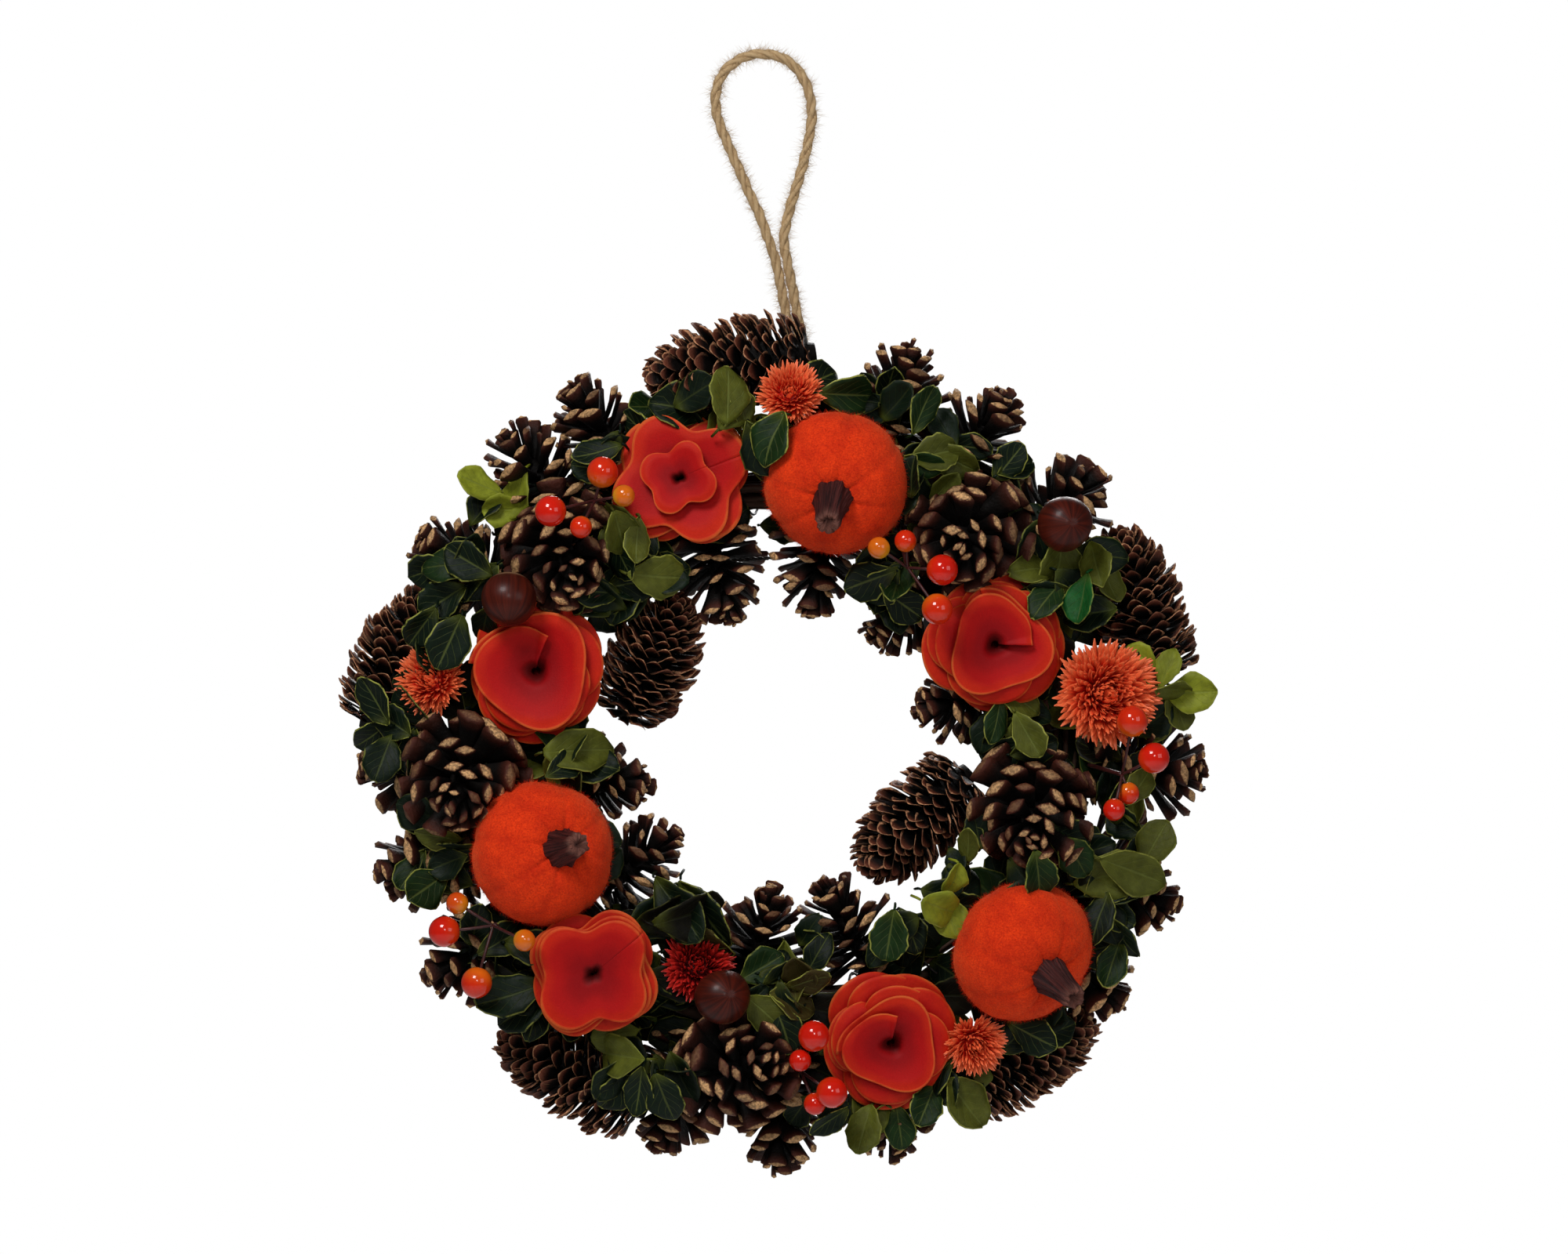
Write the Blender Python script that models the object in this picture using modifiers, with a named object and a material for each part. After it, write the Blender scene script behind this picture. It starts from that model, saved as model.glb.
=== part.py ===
"""A harvest door wreath, hung on a door hook by a loop of jute twine.

Pine cones and spruce cones are wired round a twig ring. Felt pumpkins, roses curled from wood
shavings, strawflowers, chestnuts, berry picks and leaf sprays are glued on their front.

Metres, +Z up. The wreath faces -Y. The origin is where the hook bears on the twine loop, inside
its top, so everything else hangs below it. Places on the wreath are told as on a clock face seen
from the front: degrees clockwise from the top, how far outside the ring's middle line (inside it
is negative), and a depth forward of the ring's middle plane.
"""

import math

import bmesh
import bpy
import numpy as np
from mathutils import Matrix, Vector

MM = 0.001

# What every fit is worked out from.
GAP = 0.35 * MM  # between pieces that press on each other
GLUE = 0.5 * MM  # hot glue under a piece on the ring

# The ring base, a bundle of twigs: its middle line and its thickness across the flats.
RING_RADIUS = 106 * MM
RING_THICK = 30 * MM
RING_SIDES = 12
RING_STEPS = 32

# The twine and the tie that holds it on the ring.
TWINE = 3.6 * MM
TIE_CLOCK = 5.5
TIE_WIDTH = 11 * MM
TIE_THICK = 3.2 * MM
TIE_CLEARANCE = 0.5 * MM
KNOT_RADIUS = 4.5 * MM
KNOT_SINK = 2.0 * MM  # how deep the knot sits in the wraps
KNOT_PLACE = Vector((20.6, 0, -141.4)) * MM
LEG_LEAN = 13.0  # degrees left of upright, where the two legs leave the knot
LEG_SPACING = 4.1 * MM
LEG_GAP = 0.5 * MM
SWAY_ROOM = 7 * MM  # kept free on both sides of the legs for their sway
FOLD_ROOM = 60 * MM  # kept free behind the legs for folding back

# The middle of the twine between its two ends, across and up, in millimetres.
LOOP_ROUTE_MM = (
    (15.7, -129.0), (13.6, -119.5), (11.5, -110.4), (9.4, -100.0), (7.5, -90.0), (5.6, -80.4),
    (2.7, -71.4), (-1.2, -60.9), (-6.0, -50.4), (-10.5, -39.9), (-15.0, -29.4), (-17.9, -20.4),
    (-17.8, -11.4), (-14.0, -3.9), (-7.4, 0.6), (0.0, 2.0), (8.0, 0.2), (14.3, -5.1),
    (18.0, -12.9), (19.2, -21.9), (17.9, -32.4), (15.4, -42.9), (12.2, -53.4), (9.6, -62.4),
    (8.3, -71.4), (9.9, -80.4), (11.8, -90.0), (13.7, -100.0), (15.8, -110.4), (17.9, -119.5),
    (20.0, -129.0),
)
LOOP_POINTS = 46

# Cones: (length, diameter).
FRONT_CONE = (44 * MM, 47 * MM)
OUTER_CONE = (47 * MM, 40 * MM)
INNER_CONE = (42 * MM, 35 * MM)
LONG_CONE = (66 * MM, 32 * MM)
CONE_SIDES = 8
WIRE = 1.2 * MM  # binding wire, and the wires of the berry picks
TWIST_RADIUS = 1.3 * MM  # where the wires of a pick are twisted together

PUMPKIN_RADIUS = 27.5 * MM
PUMPKIN_HEIGHT = 42 * MM
PUMPKIN_RIBS = 8
STEM_LENGTH = 15 * MM
STEM_FOOT = 7.5 * MM
STEM_TIP = 4.0 * MM

ROSE_HEIGHT = 26 * MM
ROSE_LOBES = 4
STRAW_DOME = 0.75  # a strawflower's height, in radii
CHESTNUT = (21 * MM, 20 * MM)
LEAF_THICK = 5 * MM
LEAF_LOBES = 7

# Where the cones stand: (clock, turned off the radius, leaning forward), all in degrees.
OUTER_CONES = {
    "pine_cones_top_left": ((331, -6, 18), (317, 6, 12)),
    "pine_cone_left_high": ((301, -4, 14),),
    "pine_cone_top_right": ((18, 0, 8),),
    "pine_cones_right_high": ((32, 0, 22), (48, 3, 20)),
    "pine_cone_right": ((94, -4, 10),),
    "pine_cones_right_low": ((112, 2, 16), (128, -2, 8)),
    "pine_cones_bottom": ((165, -4, 10), (181, 0, 18)),
    "pine_cone_bottom_left": ((196, 6, 12),),
    "pine_cones_left_low": ((252, 4, 10), (237, -2, 12)),
    "pine_cone_left": ((266, 6, 6),),
}
INNER_CONES = {
    "pine_cones_inner_top": ((341, 6, 16), (11, 0, 10)),
    "pine_cones_inner_right": ((44, 8, 10), (75, 0, 14)),
    "pine_cones_inner_bottom": ((159, -6, 14), (188, 4, 18)),
    "pine_cones_inner_left": ((232, 0, 10), (260, 4, 14)),
}
# Cones that face forward: (clock, place, direction of their lean, lean off the view).
FRONT_CONES = {
    "pine_cone_front_top_left": (313, 12 * MM, 160, 24),
    "pine_cone_front_top_right": (39, 6 * MM, 200, 16),
    "pine_cone_front_right": (101, -8 * MM, 190, 22),
    "pine_cone_front_bottom": (190, 21 * MM, 60, 26),
    "pine_cone_front_left": (268, 16 * MM, 190, 24),
}
# Long cones lie along the ring: (clock, place, depth, heading of the tip, lean, length).
LONG_CONES = {
    "spruce_cone_top": (351, 43 * MM, 20 * MM, 261, 2, 74 * MM),
    "spruce_cone_left": (284, 47 * MM, 4 * MM, 24, 4, LONG_CONE[0]),
    "spruce_cone_inner_left": (306, -44 * MM, 10 * MM, 25, 20, 58 * MM),
    "spruce_cone_right": (67, 43 * MM, 6 * MM, 343, 6, 68 * MM),
    "spruce_cone_inner_right": (121, -48 * MM, 8 * MM, 227, 8, 62 * MM),
    "spruce_cone_bottom_left": (214, 44 * MM, 6 * MM, 298, 2, 70 * MM),
    "spruce_cone_bottom_right": (141, 46 * MM, 2 * MM, 60, 4, LONG_CONE[0]),
}
# Pumpkins: (clock, place, direction that the stem leans to, lean off the view).
PUMPKINS = {
    "pumpkin_top": (11, -2 * MM, 192, 20),
    "pumpkin_left": (247, -6 * MM, 72, 26),
    "pumpkin_right": (130, 13 * MM, 131, 38),
}
# Roses: (clock, place, rose radius, turn, direction of lean, lean, height of the back).
ROSES = {
    "rose_top": (340, 3 * MM, 27 * MM, 20, 300, 8, 16 * MM),
    "rose_left": (288, -8 * MM, 27 * MM, 65, 270, 6, 17 * MM),
    "rose_right": (62, -17 * MM, 27 * MM, 0, 120, 8, 17 * MM),
    "rose_bottom_left": (221, 3 * MM, 25 * MM, 40, 200, 6, 24 * MM),
    "rose_bottom": (160, 10 * MM, 27 * MM, 80, 160, 10, 16 * MM),
}
# Strawflowers: (clock, place, flower radius, depth of the foot, direction of lean, lean).
STRAWFLOWERS = {
    "strawflower_top": (1, 29 * MM, 12.5 * MM, 37 * MM, 0, 14),
    "strawflower_left": (281, 31 * MM, 12.5 * MM, 24 * MM, 281, 30),
    "strawflower_right": (80, 18 * MM, 20 * MM, 28 * MM, 80, 12),
    "strawflower_bottom_left": (202, -16 * MM, 14 * MM, 24 * MM, 30, 16),
    "strawflower_bottom_right": (147, 27 * MM, 11.5 * MM, 26 * MM, 147, 20),
}
# Chestnuts: (clock, place, depth of the middle, heading of the tip, lean off the view).
CHESTNUTS = {
    "chestnut_left": (299, 13 * MM, 48 * MM, 180, 60),
    "chestnut_right": (51, 31 * MM, 46 * MM, 90, 12),
    "chestnut_bottom": (194, -10 * MM, 46 * MM, 60, 20),
}
# Leaf sprays, as rosettes: (clock, place, spray radius, depth, turn, direction of lean, lean).
LEAF_SPRAYS = {
    "leaf_spray_top_right": (20, 19 * MM, 33 * MM, 25 * MM, 10, 20, 8),
    "leaf_spray_top_left": (341, 33 * MM, 30 * MM, 28 * MM, 30, 340, 10),
    "leaf_spray_right_high": (60, 24 * MM, 30 * MM, 24 * MM, 0, 60, 12),
    "leaf_spray_right_low": (109, 18 * MM, 33 * MM, 22 * MM, 20, 110, 8),
    "leaf_spray_bottom": (178, -12 * MM, 30 * MM, 24 * MM, 40, 180, 6),
    "leaf_spray_left_low": (240, 28 * MM, 32 * MM, 22 * MM, 15, 240, 10),
    "leaf_spray_left_high": (298, 34 * MM, 30 * MM, 24 * MM, 5, 300, 12),
}
# Berry picks: the junction, the root on the ring, and each berry as (clock, place, depth, size).
SMALL_BERRY = 8.4 * MM
LARGE_BERRY = 11.8 * MM
BERRY_PICKS = {
    "berry_pick_top_left": (
        (323, 13 * MM, 46 * MM),
        (325, 6 * MM),
        (
            (327, 20 * MM, 50 * MM, LARGE_BERRY),
            (328, 8 * MM, 54 * MM, SMALL_BERRY),
            (316, 20 * MM, 63 * MM, LARGE_BERRY),
            (318, 8 * MM, 60 * MM, SMALL_BERRY),
        ),
    ),
    "berry_pick_top_right": (
        (34, -22 * MM, 44 * MM),
        (27, -9 * MM),
        (
            (25, -21 * MM, 51 * MM, SMALL_BERRY),
            (30, -14 * MM, 49 * MM, SMALL_BERRY),
            (41, -15 * MM, 55 * MM, LARGE_BERRY),
            (47, -27 * MM, 56 * MM, LARGE_BERRY),
        ),
    ),
    "berry_pick_right": (
        (94, 23 * MM, 40 * MM),
        (93, 12 * MM),
        (
            (85, 26 * MM, 53 * MM, LARGE_BERRY),
            (91, 34 * MM, 49 * MM, LARGE_BERRY),
            (100, 21 * MM, 47 * MM, SMALL_BERRY),
            (97, 26 * MM, 40 * MM, SMALL_BERRY),
        ),
    ),
    "berry_pick_left": (
        (239, 23 * MM, 40 * MM),
        (236, 11 * MM),
        (
            (245, 31 * MM, 41 * MM, SMALL_BERRY),
            (242, 40 * MM, 43 * MM, LARGE_BERRY),
            (234, 15 * MM, 54 * MM, SMALL_BERRY),
            (233, 40 * MM, 44 * MM, LARGE_BERRY),
        ),
    ),
    "berry_pick_bottom": (
        (177, 16 * MM, 40 * MM),
        (176, 7 * MM),
        (
            (174, 2 * MM, 52 * MM, LARGE_BERRY),
            (177, 11 * MM, 50 * MM, SMALL_BERRY),
            (172, 24 * MM, 52 * MM, LARGE_BERRY),
            (175, 28 * MM, 48 * MM, SMALL_BERRY),
        ),
    ),
}

# Which piece gives way where two press on each other: the softer one, with the higher number.
HARD, FLOWER, CONE, LEAF = 0, 1, 2, 3


def heading(clock):
    """The direction in the wreath's plane at this many degrees clockwise from the top."""
    return Vector((math.sin(math.radians(clock)), 0, math.cos(math.radians(clock))))


FORWARD = Vector((0, -1, 0))
TIE_RADIUS = RING_THICK / 2 / math.cos(math.pi / RING_SIDES) + TIE_CLEARANCE
KNOT_RISE = RING_RADIUS + TIE_RADIUS + TIE_THICK + KNOT_RADIUS - KNOT_SINK
RING_CENTRE = KNOT_PLACE - KNOT_RISE * heading(TIE_CLOCK)
# The tie sits on the middle of one straight length of the ring.
TIE_PLACE = RING_CENTRE + RING_RADIUS * math.cos(math.pi / RING_STEPS) * heading(TIE_CLOCK)
RING_START = TIE_CLOCK + 180 / RING_STEPS
TIE_AXIS = heading(TIE_CLOCK + 90)
RING_FRONT = RING_THICK / 2


def on_clock(clock, place, depth=0.0):
    """The point at this clock angle, this far outside the ring's middle line and forward of it."""
    return RING_CENTRE + (RING_RADIUS + place) * heading(clock) + depth * FORWARD


def leaning(clock, lean):
    """The view's direction, leaned this many degrees towards a clock direction."""
    tilt = math.radians(lean)
    return math.cos(tilt) * FORWARD + math.sin(tilt) * heading(clock)


def pointing(clock, lean):
    """A clock direction, leaned this many degrees forward."""
    tilt = math.radians(lean)
    return math.cos(tilt) * heading(clock) + math.sin(tilt) * FORWARD


def frame_at(place, axis, turn=0.0):
    """The matrix that stands a piece's own Z on this axis at this place."""
    facing = axis.to_track_quat("Z", "Y").to_matrix().to_4x4()
    return Matrix.Translation(place) @ facing @ Matrix.Rotation(math.radians(turn), 4, "Z")


def fresh_collection(name):
    """A new collection in the scene."""
    made = bpy.data.collections.new(name)
    bpy.context.scene.collection.children.link(made)
    return made


def material(name, colour, roughness):
    """A plain Principled material."""
    made = bpy.data.materials.new(name)
    made.use_nodes = True
    shader = made.node_tree.nodes["Principled BSDF"]
    shader.inputs["Base Color"].default_value = (*colour, 1)
    shader.inputs["Roughness"].default_value = roughness
    shader.inputs["Metallic"].default_value = 0
    return made


def add(name, mesh, matrix, finish, group):
    """A new object for this mesh, stood at its place."""
    obj = bpy.data.objects.new(name, mesh)
    obj.matrix_world = matrix
    group.objects.link(obj)
    mesh.materials.clear()
    mesh.materials.append(finish)
    return obj


def baked(obj):
    """The object's evaluated mesh, in its own space, with its caps welded; the object is removed."""
    bpy.context.view_layer.update()
    graph = bpy.context.evaluated_depsgraph_get()
    mesh = bpy.data.meshes.new_from_object(obj.evaluated_get(graph))
    bm = bmesh.new()
    bm.from_mesh(mesh)
    bmesh.ops.remove_doubles(bm, verts=bm.verts, dist=0.01 * MM)
    bmesh.ops.recalc_face_normals(bm, faces=bm.faces)
    bm.to_mesh(mesh)
    bm.free()
    bpy.data.objects.remove(obj)
    return mesh


def turned(profile, sides):
    """A closed mesh turned about Z from a profile of (radius, height), from the top down."""
    mesh = bpy.data.meshes.new("profile")
    points = [(radius, 0, height) for radius, height in profile]
    mesh.from_pydata(points, [(i, i + 1) for i in range(len(points) - 1)], [])
    obj = bpy.data.objects.new("profile", mesh)
    bpy.context.scene.collection.objects.link(obj)
    screw = obj.modifiers.new("turn", "SCREW")
    screw.steps = screw.render_steps = sides
    screw.use_merge_vertices = True
    screw.merge_threshold = 0.00001
    return baked(obj)


def lobed(mesh, lobes, share, lowest=-1.0):
    """The turned mesh with lobes round its rim, drawn in between them by a share of the radius."""
    for vertex in mesh.vertices:
        if vertex.co.z > lowest:
            angle = math.atan2(vertex.co.y, vertex.co.x)
            drawn = 1 - share * (0.5 - 0.5 * math.cos(lobes * angle))
            vertex.co.x *= drawn
            vertex.co.y *= drawn
    return mesh


def cone_mesh(length, diameter, rows, fullest):
    """A cone with its foot at the origin and its tip along Z, in rows of overlapping scales."""
    profile = [(0, length)]
    for row in range(rows):
        for share, open_out in ((row / rows, 1.0), ((row + 0.82) / rows, 0.80)):
            along = 1 - share
            if along > fullest:
                swell = math.cos(math.pi / 2 * (along - fullest) / (1 - fullest)) ** 0.7
            else:
                swell = 0.62 + 0.38 * math.sin(math.pi / 2 * along / fullest)
            profile.append((diameter / 2 * max(swell, 0.22) * open_out, length * along))
    profile.append((diameter * 0.22, 0))
    profile.append((0, 0))
    return turned(profile, CONE_SIDES)


def ball_mesh(radius, rings, sides):
    """A ball, turned about Z."""
    steps = [math.pi * i / rings for i in range(rings + 1)]
    return turned([(radius * math.sin(a), radius * math.cos(a)) for a in steps], sides)


def rod_between(name, start, end, radius, finish, group):
    """A straight wire from one point to another."""
    bm = bmesh.new()
    along = end - start
    bmesh.ops.create_cone(
        bm, cap_ends=True, segments=5, radius1=radius, radius2=radius, depth=along.length
    )
    mesh = bpy.data.meshes.new(name)
    bm.to_mesh(mesh)
    bm.free()
    return add(name, mesh, frame_at((start + end) / 2, along.normalized()), finish, group)


class Piece:
    """One convex or nearly convex solid, and the node that it belongs to."""

    def __init__(self, obj, node, yields):
        self.obj = obj
        self.node = node
        self.yields = yields
        self.points = corners(obj)

    def cut(self, place, normal):
        """Cuts off what lies past a plane, and closes the cut."""
        matrix = self.obj.matrix_world
        bm = bmesh.new()
        bm.from_mesh(self.obj.data)
        bmesh.ops.bisect_plane(
            bm,
            geom=bm.verts[:] + bm.edges[:] + bm.faces[:],
            dist=0.001 * MM,
            plane_co=matrix.inverted() @ place,
            plane_no=matrix.to_3x3().transposed() @ normal,
            clear_outer=True,
        )
        bmesh.ops.remove_doubles(bm, verts=bm.verts, dist=0.01 * MM)
        rim = [edge for edge in bm.edges if edge.is_boundary]
        bmesh.ops.holes_fill(bm, edges=rim, sides=0)
        bmesh.ops.triangulate(bm, faces=[face for face in bm.faces if len(face.verts) > 4])
        bmesh.ops.recalc_face_normals(bm, faces=bm.faces)
        bm.to_mesh(self.obj.data)
        bm.free()
        self.points = corners(self.obj)


def corners(obj):
    """The object's vertices in world space."""
    return np.array([obj.matrix_world @ v.co for v in obj.data.vertices])


def directions(count):
    """Directions spread evenly over a sphere."""
    steps = np.arange(count)
    up = 1 - 2 * (steps + 0.5) / count
    turn = math.pi * (3 - math.sqrt(5)) * steps
    ring = np.sqrt(1 - up * up)
    return np.stack([ring * np.cos(turn), ring * np.sin(turn), up], axis=1)


ALL_ROUND = directions(700)


def extent(points, along):
    """How far these points reach along each direction."""
    reach = points @ along.T
    return reach.max(0) - reach.min(0)


def seat_between(first, second):
    """The direction from one piece to another that costs the one that yields the least."""
    between = second.points.mean(0) - first.points.mean(0)
    tried = np.vstack([ALL_ROUND, between / np.linalg.norm(between)])
    softer = [piece for piece in (first, second) if piece.yields == max(first.yields, second.yields)]
    spread = 0.08
    for _ in range(4):
        lost = (first.points @ tried.T).max(0) - (second.points @ tried.T).min(0) + GAP
        share = lost / np.min([extent(piece.points, tried) for piece in softer], axis=0)
        best = int(share.argmin())
        found = tried[best], float(lost[best])
        tried = tried[best] + spread * ALL_ROUND[::3]
        tried = np.vstack([tried / np.linalg.norm(tried, axis=1)[:, None], found[0]])
        spread /= 3
    return found


def seat_apart(pieces, obstacles):
    """Trims flat seats where pieces press on each other, so that GAP is left between them."""
    for index, first in enumerate(pieces):
        for second in pieces[index + 1 :] + obstacles:
            if first.node == second.node:
                continue
            low = np.maximum(first.points.min(0), second.points.min(0))
            high = np.minimum(first.points.max(0), second.points.max(0))
            if (low > high + GAP).any():
                continue
            normal, lost = seat_between(first, second)
            if lost <= 0:
                continue
            reach = float((first.points @ normal).max())
            start = float((second.points @ normal).min())
            if first.yields == second.yields:
                reach = (reach + start - GAP) / 2
                start = reach + GAP
            elif first.yields > second.yields:
                reach = start - GAP
            else:
                start = reach + GAP
            normal = Vector(normal)
            if first.yields >= second.yields:
                first.cut(reach * normal, normal)
            if second.yields >= first.yields:
                second.cut(start * normal, -normal)


class Obstacle:
    """A convex block of space that pieces are trimmed to."""

    def __init__(self, points):
        self.points = np.array(points)
        self.node = None
        self.yields = -1


def box_points(middle, across, forward, up, half):
    """The eight corners of a box with these three half-sizes along three directions."""
    return [
        middle + a * half[0] * across + b * half[1] * forward + c * half[2] * up
        for a in (-1, 1)
        for b in (-1, 1)
        for c in (-1, 1)
    ]


def ring_base(finish, group):
    """The ring of twigs, with a flat back."""
    radius = RING_THICK / 2 / math.cos(math.pi / RING_SIDES)
    points = [
        (
            RING_RADIUS + radius * math.cos(math.pi * (2 * i + 1) / RING_SIDES),
            -radius * math.sin(math.pi * (2 * i + 1) / RING_SIDES),
        )
        for i in range(RING_SIDES + 1)
    ]
    across = heading(RING_START)
    facing = Matrix((across, FORWARD.cross(across), FORWARD)).transposed().to_4x4()
    matrix = Matrix.Translation(RING_CENTRE) @ facing
    return add("ring_base", turned(points, RING_STEPS), matrix, finish, group)


def ring_blocks():
    """The ring again, as short convex blocks that pieces are seated on."""
    radius = RING_THICK / 2 / math.cos(math.pi / RING_SIDES)
    around = [math.pi * (2 * i + 1) / RING_SIDES for i in range(RING_SIDES)]
    steps = [
        [
            on_clock(clock, radius * math.cos(a), radius * math.sin(a))
            for a in around
        ]
        for clock in np.linspace(0, 360, RING_STEPS + 1) + RING_START
    ]
    return [Obstacle(steps[i] + steps[i + 1]) for i in range(len(steps) - 1)]


def smooth_through(points, count):
    """Evenly spaced points on a smooth curve through these."""
    line = [2 * points[0] - points[1], *points, 2 * points[-1] - points[-2]]
    fine = []
    for a, b, c, d in zip(line, line[1:], line[2:], line[3:]):
        for t in np.linspace(0, 1, 12, endpoint=False):
            fine.append(
                0.5
                * (
                    2 * b
                    + (c - a) * t
                    + (2 * a - 5 * b + 4 * c - d) * t**2
                    + (3 * b - a - 3 * c + d) * t**3
                )
            )
    fine = np.array([*fine, points[-1]])
    along = np.concatenate([[0], np.cumsum(np.linalg.norm(np.diff(fine, axis=0), axis=1))])
    wanted = np.linspace(0, along[-1], count)
    return np.stack([np.interp(wanted, along, fine[:, k]) for k in range(3)], axis=1)


def twine_loop(finish, group):
    """The hanging loop: up from the knot, over the hook and down to the knot again."""
    up = heading(-LEG_LEAN)
    across = heading(90 - LEG_LEAN)
    foot = KNOT_PLACE + (KNOT_RADIUS + LEG_GAP) * up
    route = [foot - LEG_SPACING / 2 * across]
    route += [Vector((x, 0, z)) * MM for x, z in LOOP_ROUTE_MM]
    route.append(foot + LEG_SPACING / 2 * across)
    line = smooth_through(route, LOOP_POINTS)
    curve = bpy.data.curves.new("twine_loop", "CURVE")
    curve.dimensions = "3D"
    curve.bevel_depth = TWINE / 2
    curve.bevel_resolution = 2
    curve.use_fill_caps = True
    spline = curve.splines.new("POLY")
    spline.points.add(len(line) - 1)
    for point, place in zip(spline.points, line):
        point.co = (*place, 1)
    curve.materials.append(finish)
    obj = bpy.data.objects.new("twine_loop", curve)
    group.objects.link(obj)
    return obj


def twine_tie(finish, group, helpers):
    """The wraps of twine round the ring, and the knot on top that the loop leaves from."""
    inner = TIE_RADIUS / math.cos(math.pi / 24)
    outer = inner + TIE_THICK
    half = TIE_WIDTH / 2
    profile = [(inner, half), (outer, half), (outer, -half), (inner, -half), (inner, half)]
    matrix = frame_at(TIE_PLACE, TIE_AXIS)
    tie = add("twine_tie", turned(profile, 24), matrix, finish, group)
    knot_place = Matrix.Translation(KNOT_PLACE)
    knot = add("knot", ball_mesh(KNOT_RADIUS, 6, 10), knot_place, finish, helpers)
    unite(tie, [knot])
    return tie


def unite(obj, helpers):
    """Joins helper solids to an object, and hides them."""
    for helper in helpers:
        join = obj.modifiers.new("join_" + helper.name, "BOOLEAN")
        join.operation = "UNION"
        join.solver = "EXACT"
        join.object = helper
        helper.hide_render = True
        helper.display_type = "WIRE"


def outer_or_inner_cone(clock, turn, lean, inside):
    """The matrix and size of a cone that stands on the ring's outer or inner side."""
    length, diameter = INNER_CONE if inside else OUTER_CONE
    side = RING_THICK / 2 + GLUE
    out = clock + turn + (180 if inside else 0)
    foot = on_clock(clock, -side if inside else side, 4 * MM)
    return frame_at(foot, pointing(out, lean)), length, diameter


def cone_groups(bark, wire, group, helpers):
    """Pine cones on the ring's outer and inner side, singly or wired in pairs."""
    pieces, joins = [], []
    for inside, table in ((False, OUTER_CONES), (True, INNER_CONES)):
        for node, cones in table.items():
            made = []
            for number, (clock, turn, lean) in enumerate(cones):
                matrix, length, diameter = outer_or_inner_cone(clock, turn, lean, inside)
                mesh = cone_mesh(length, diameter, 3 if inside else 4, 0.42)
                home = group if number == 0 else helpers
                name = node if number == 0 else f"{node}_second"
                made.append(add(name, mesh, matrix, bark, home))
            pieces += [Piece(obj, node, CONE) for obj in made]
            if len(made) == 2:
                ends = [obj.matrix_world @ Vector((0, 0, 14 * MM)) for obj in made]
                tie = rod_between(f"{node}_wire", *ends, 1.5 * MM, wire, helpers)
                pieces.append(Piece(tie, node, CONE))
                joins.append((made[0], [made[1], tie]))
    return pieces, joins


def front_cones(bark, group):
    """Open pine cones glued to the ring's front, facing the viewer."""
    pieces = []
    for node, (clock, out, towards, lean) in FRONT_CONES.items():
        place = on_clock(clock, out, RING_FRONT + GLUE)
        mesh = cone_mesh(*FRONT_CONE, 4, 0.42)
        obj = add(node, mesh, frame_at(place, leaning(towards, lean)), bark, group)
        pieces.append(Piece(obj, node, CONE))
    return pieces


def long_cones(bark, group):
    """Long spruce cones lying along the ring."""
    pieces = []
    for node, (clock, out, depth, tip, lean, length) in LONG_CONES.items():
        axis = pointing(tip, lean)
        foot = on_clock(clock, out, depth) - length / 2 * axis
        mesh = cone_mesh(length, LONG_CONE[1], 6, 0.35)
        obj = add(node, mesh, frame_at(foot, axis), bark, group)
        pieces.append(Piece(obj, node, CONE))
    return pieces


def pumpkins(felt, wood, group):
    """Felt pumpkins on the ring's front, each with its own stem in the dimple at the top."""
    half, radius = PUMPKIN_HEIGHT / 2, PUMPKIN_RADIUS
    dimple = 2.5 * MM
    steps = [math.radians(a) for a in (30, 56, 88, 120, 150)]
    profile = [(0, half - dimple), (STEM_FOOT + GAP, half - dimple)]
    profile += [(radius * math.sin(a) ** 0.8, half * math.cos(a)) for a in steps]
    profile += [(0, -half * 0.95)]
    stem_profile = [
        (0, STEM_LENGTH),
        (STEM_TIP, STEM_LENGTH),
        (STEM_TIP * 0.9, STEM_LENGTH * 0.6),
        (STEM_FOOT * 0.75, STEM_LENGTH * 0.2),
        (STEM_FOOT, 0),
        (0, 0),
    ]
    pieces = []
    for node, (clock, out, towards, lean) in PUMPKINS.items():
        axis = leaning(towards, lean)
        middle = on_clock(clock, out, RING_FRONT + GLUE + half)
        mesh = lobed(turned(profile, 3 * PUMPKIN_RIBS), PUMPKIN_RIBS, 0.07)
        body = add(node, mesh, frame_at(middle, axis), felt, group)
        foot = middle + (half - dimple + GAP) * axis
        mesh = lobed(turned(stem_profile, 10), 5, 0.16)
        stem = add(f"{node}_stem", mesh, frame_at(foot, axis), wood, group)
        pieces.append(Piece(body, node, HARD))
        pieces.append(Piece(stem, node, HARD))
    return pieces


def roses(shaving, group):
    """Roses curled from dyed wood shaving, as stacked lobed dishes."""
    pieces = []
    for node, (clock, out, radius, turn, towards, lean, back) in ROSES.items():
        rim, height = radius, ROSE_HEIGHT
        profile = [
            (0, height * 0.72),
            (rim * 0.58, height),
            (rim * 0.62, height * 0.9),
            (rim * 0.5, height * 0.72),
            (rim * 0.98, height * 0.74),
            (rim, height * 0.62),
            (rim * 0.35, 0),
            (0, 0),
        ]
        axis = leaning(towards, lean)
        mesh = lobed(turned(profile, 4 * ROSE_LOBES), ROSE_LOBES, 0.16)
        matrix = frame_at(on_clock(clock, out, back), axis, turn)
        pieces.append(Piece(add(node, mesh, matrix, shaving, group), node, FLOWER))
    return pieces


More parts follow.
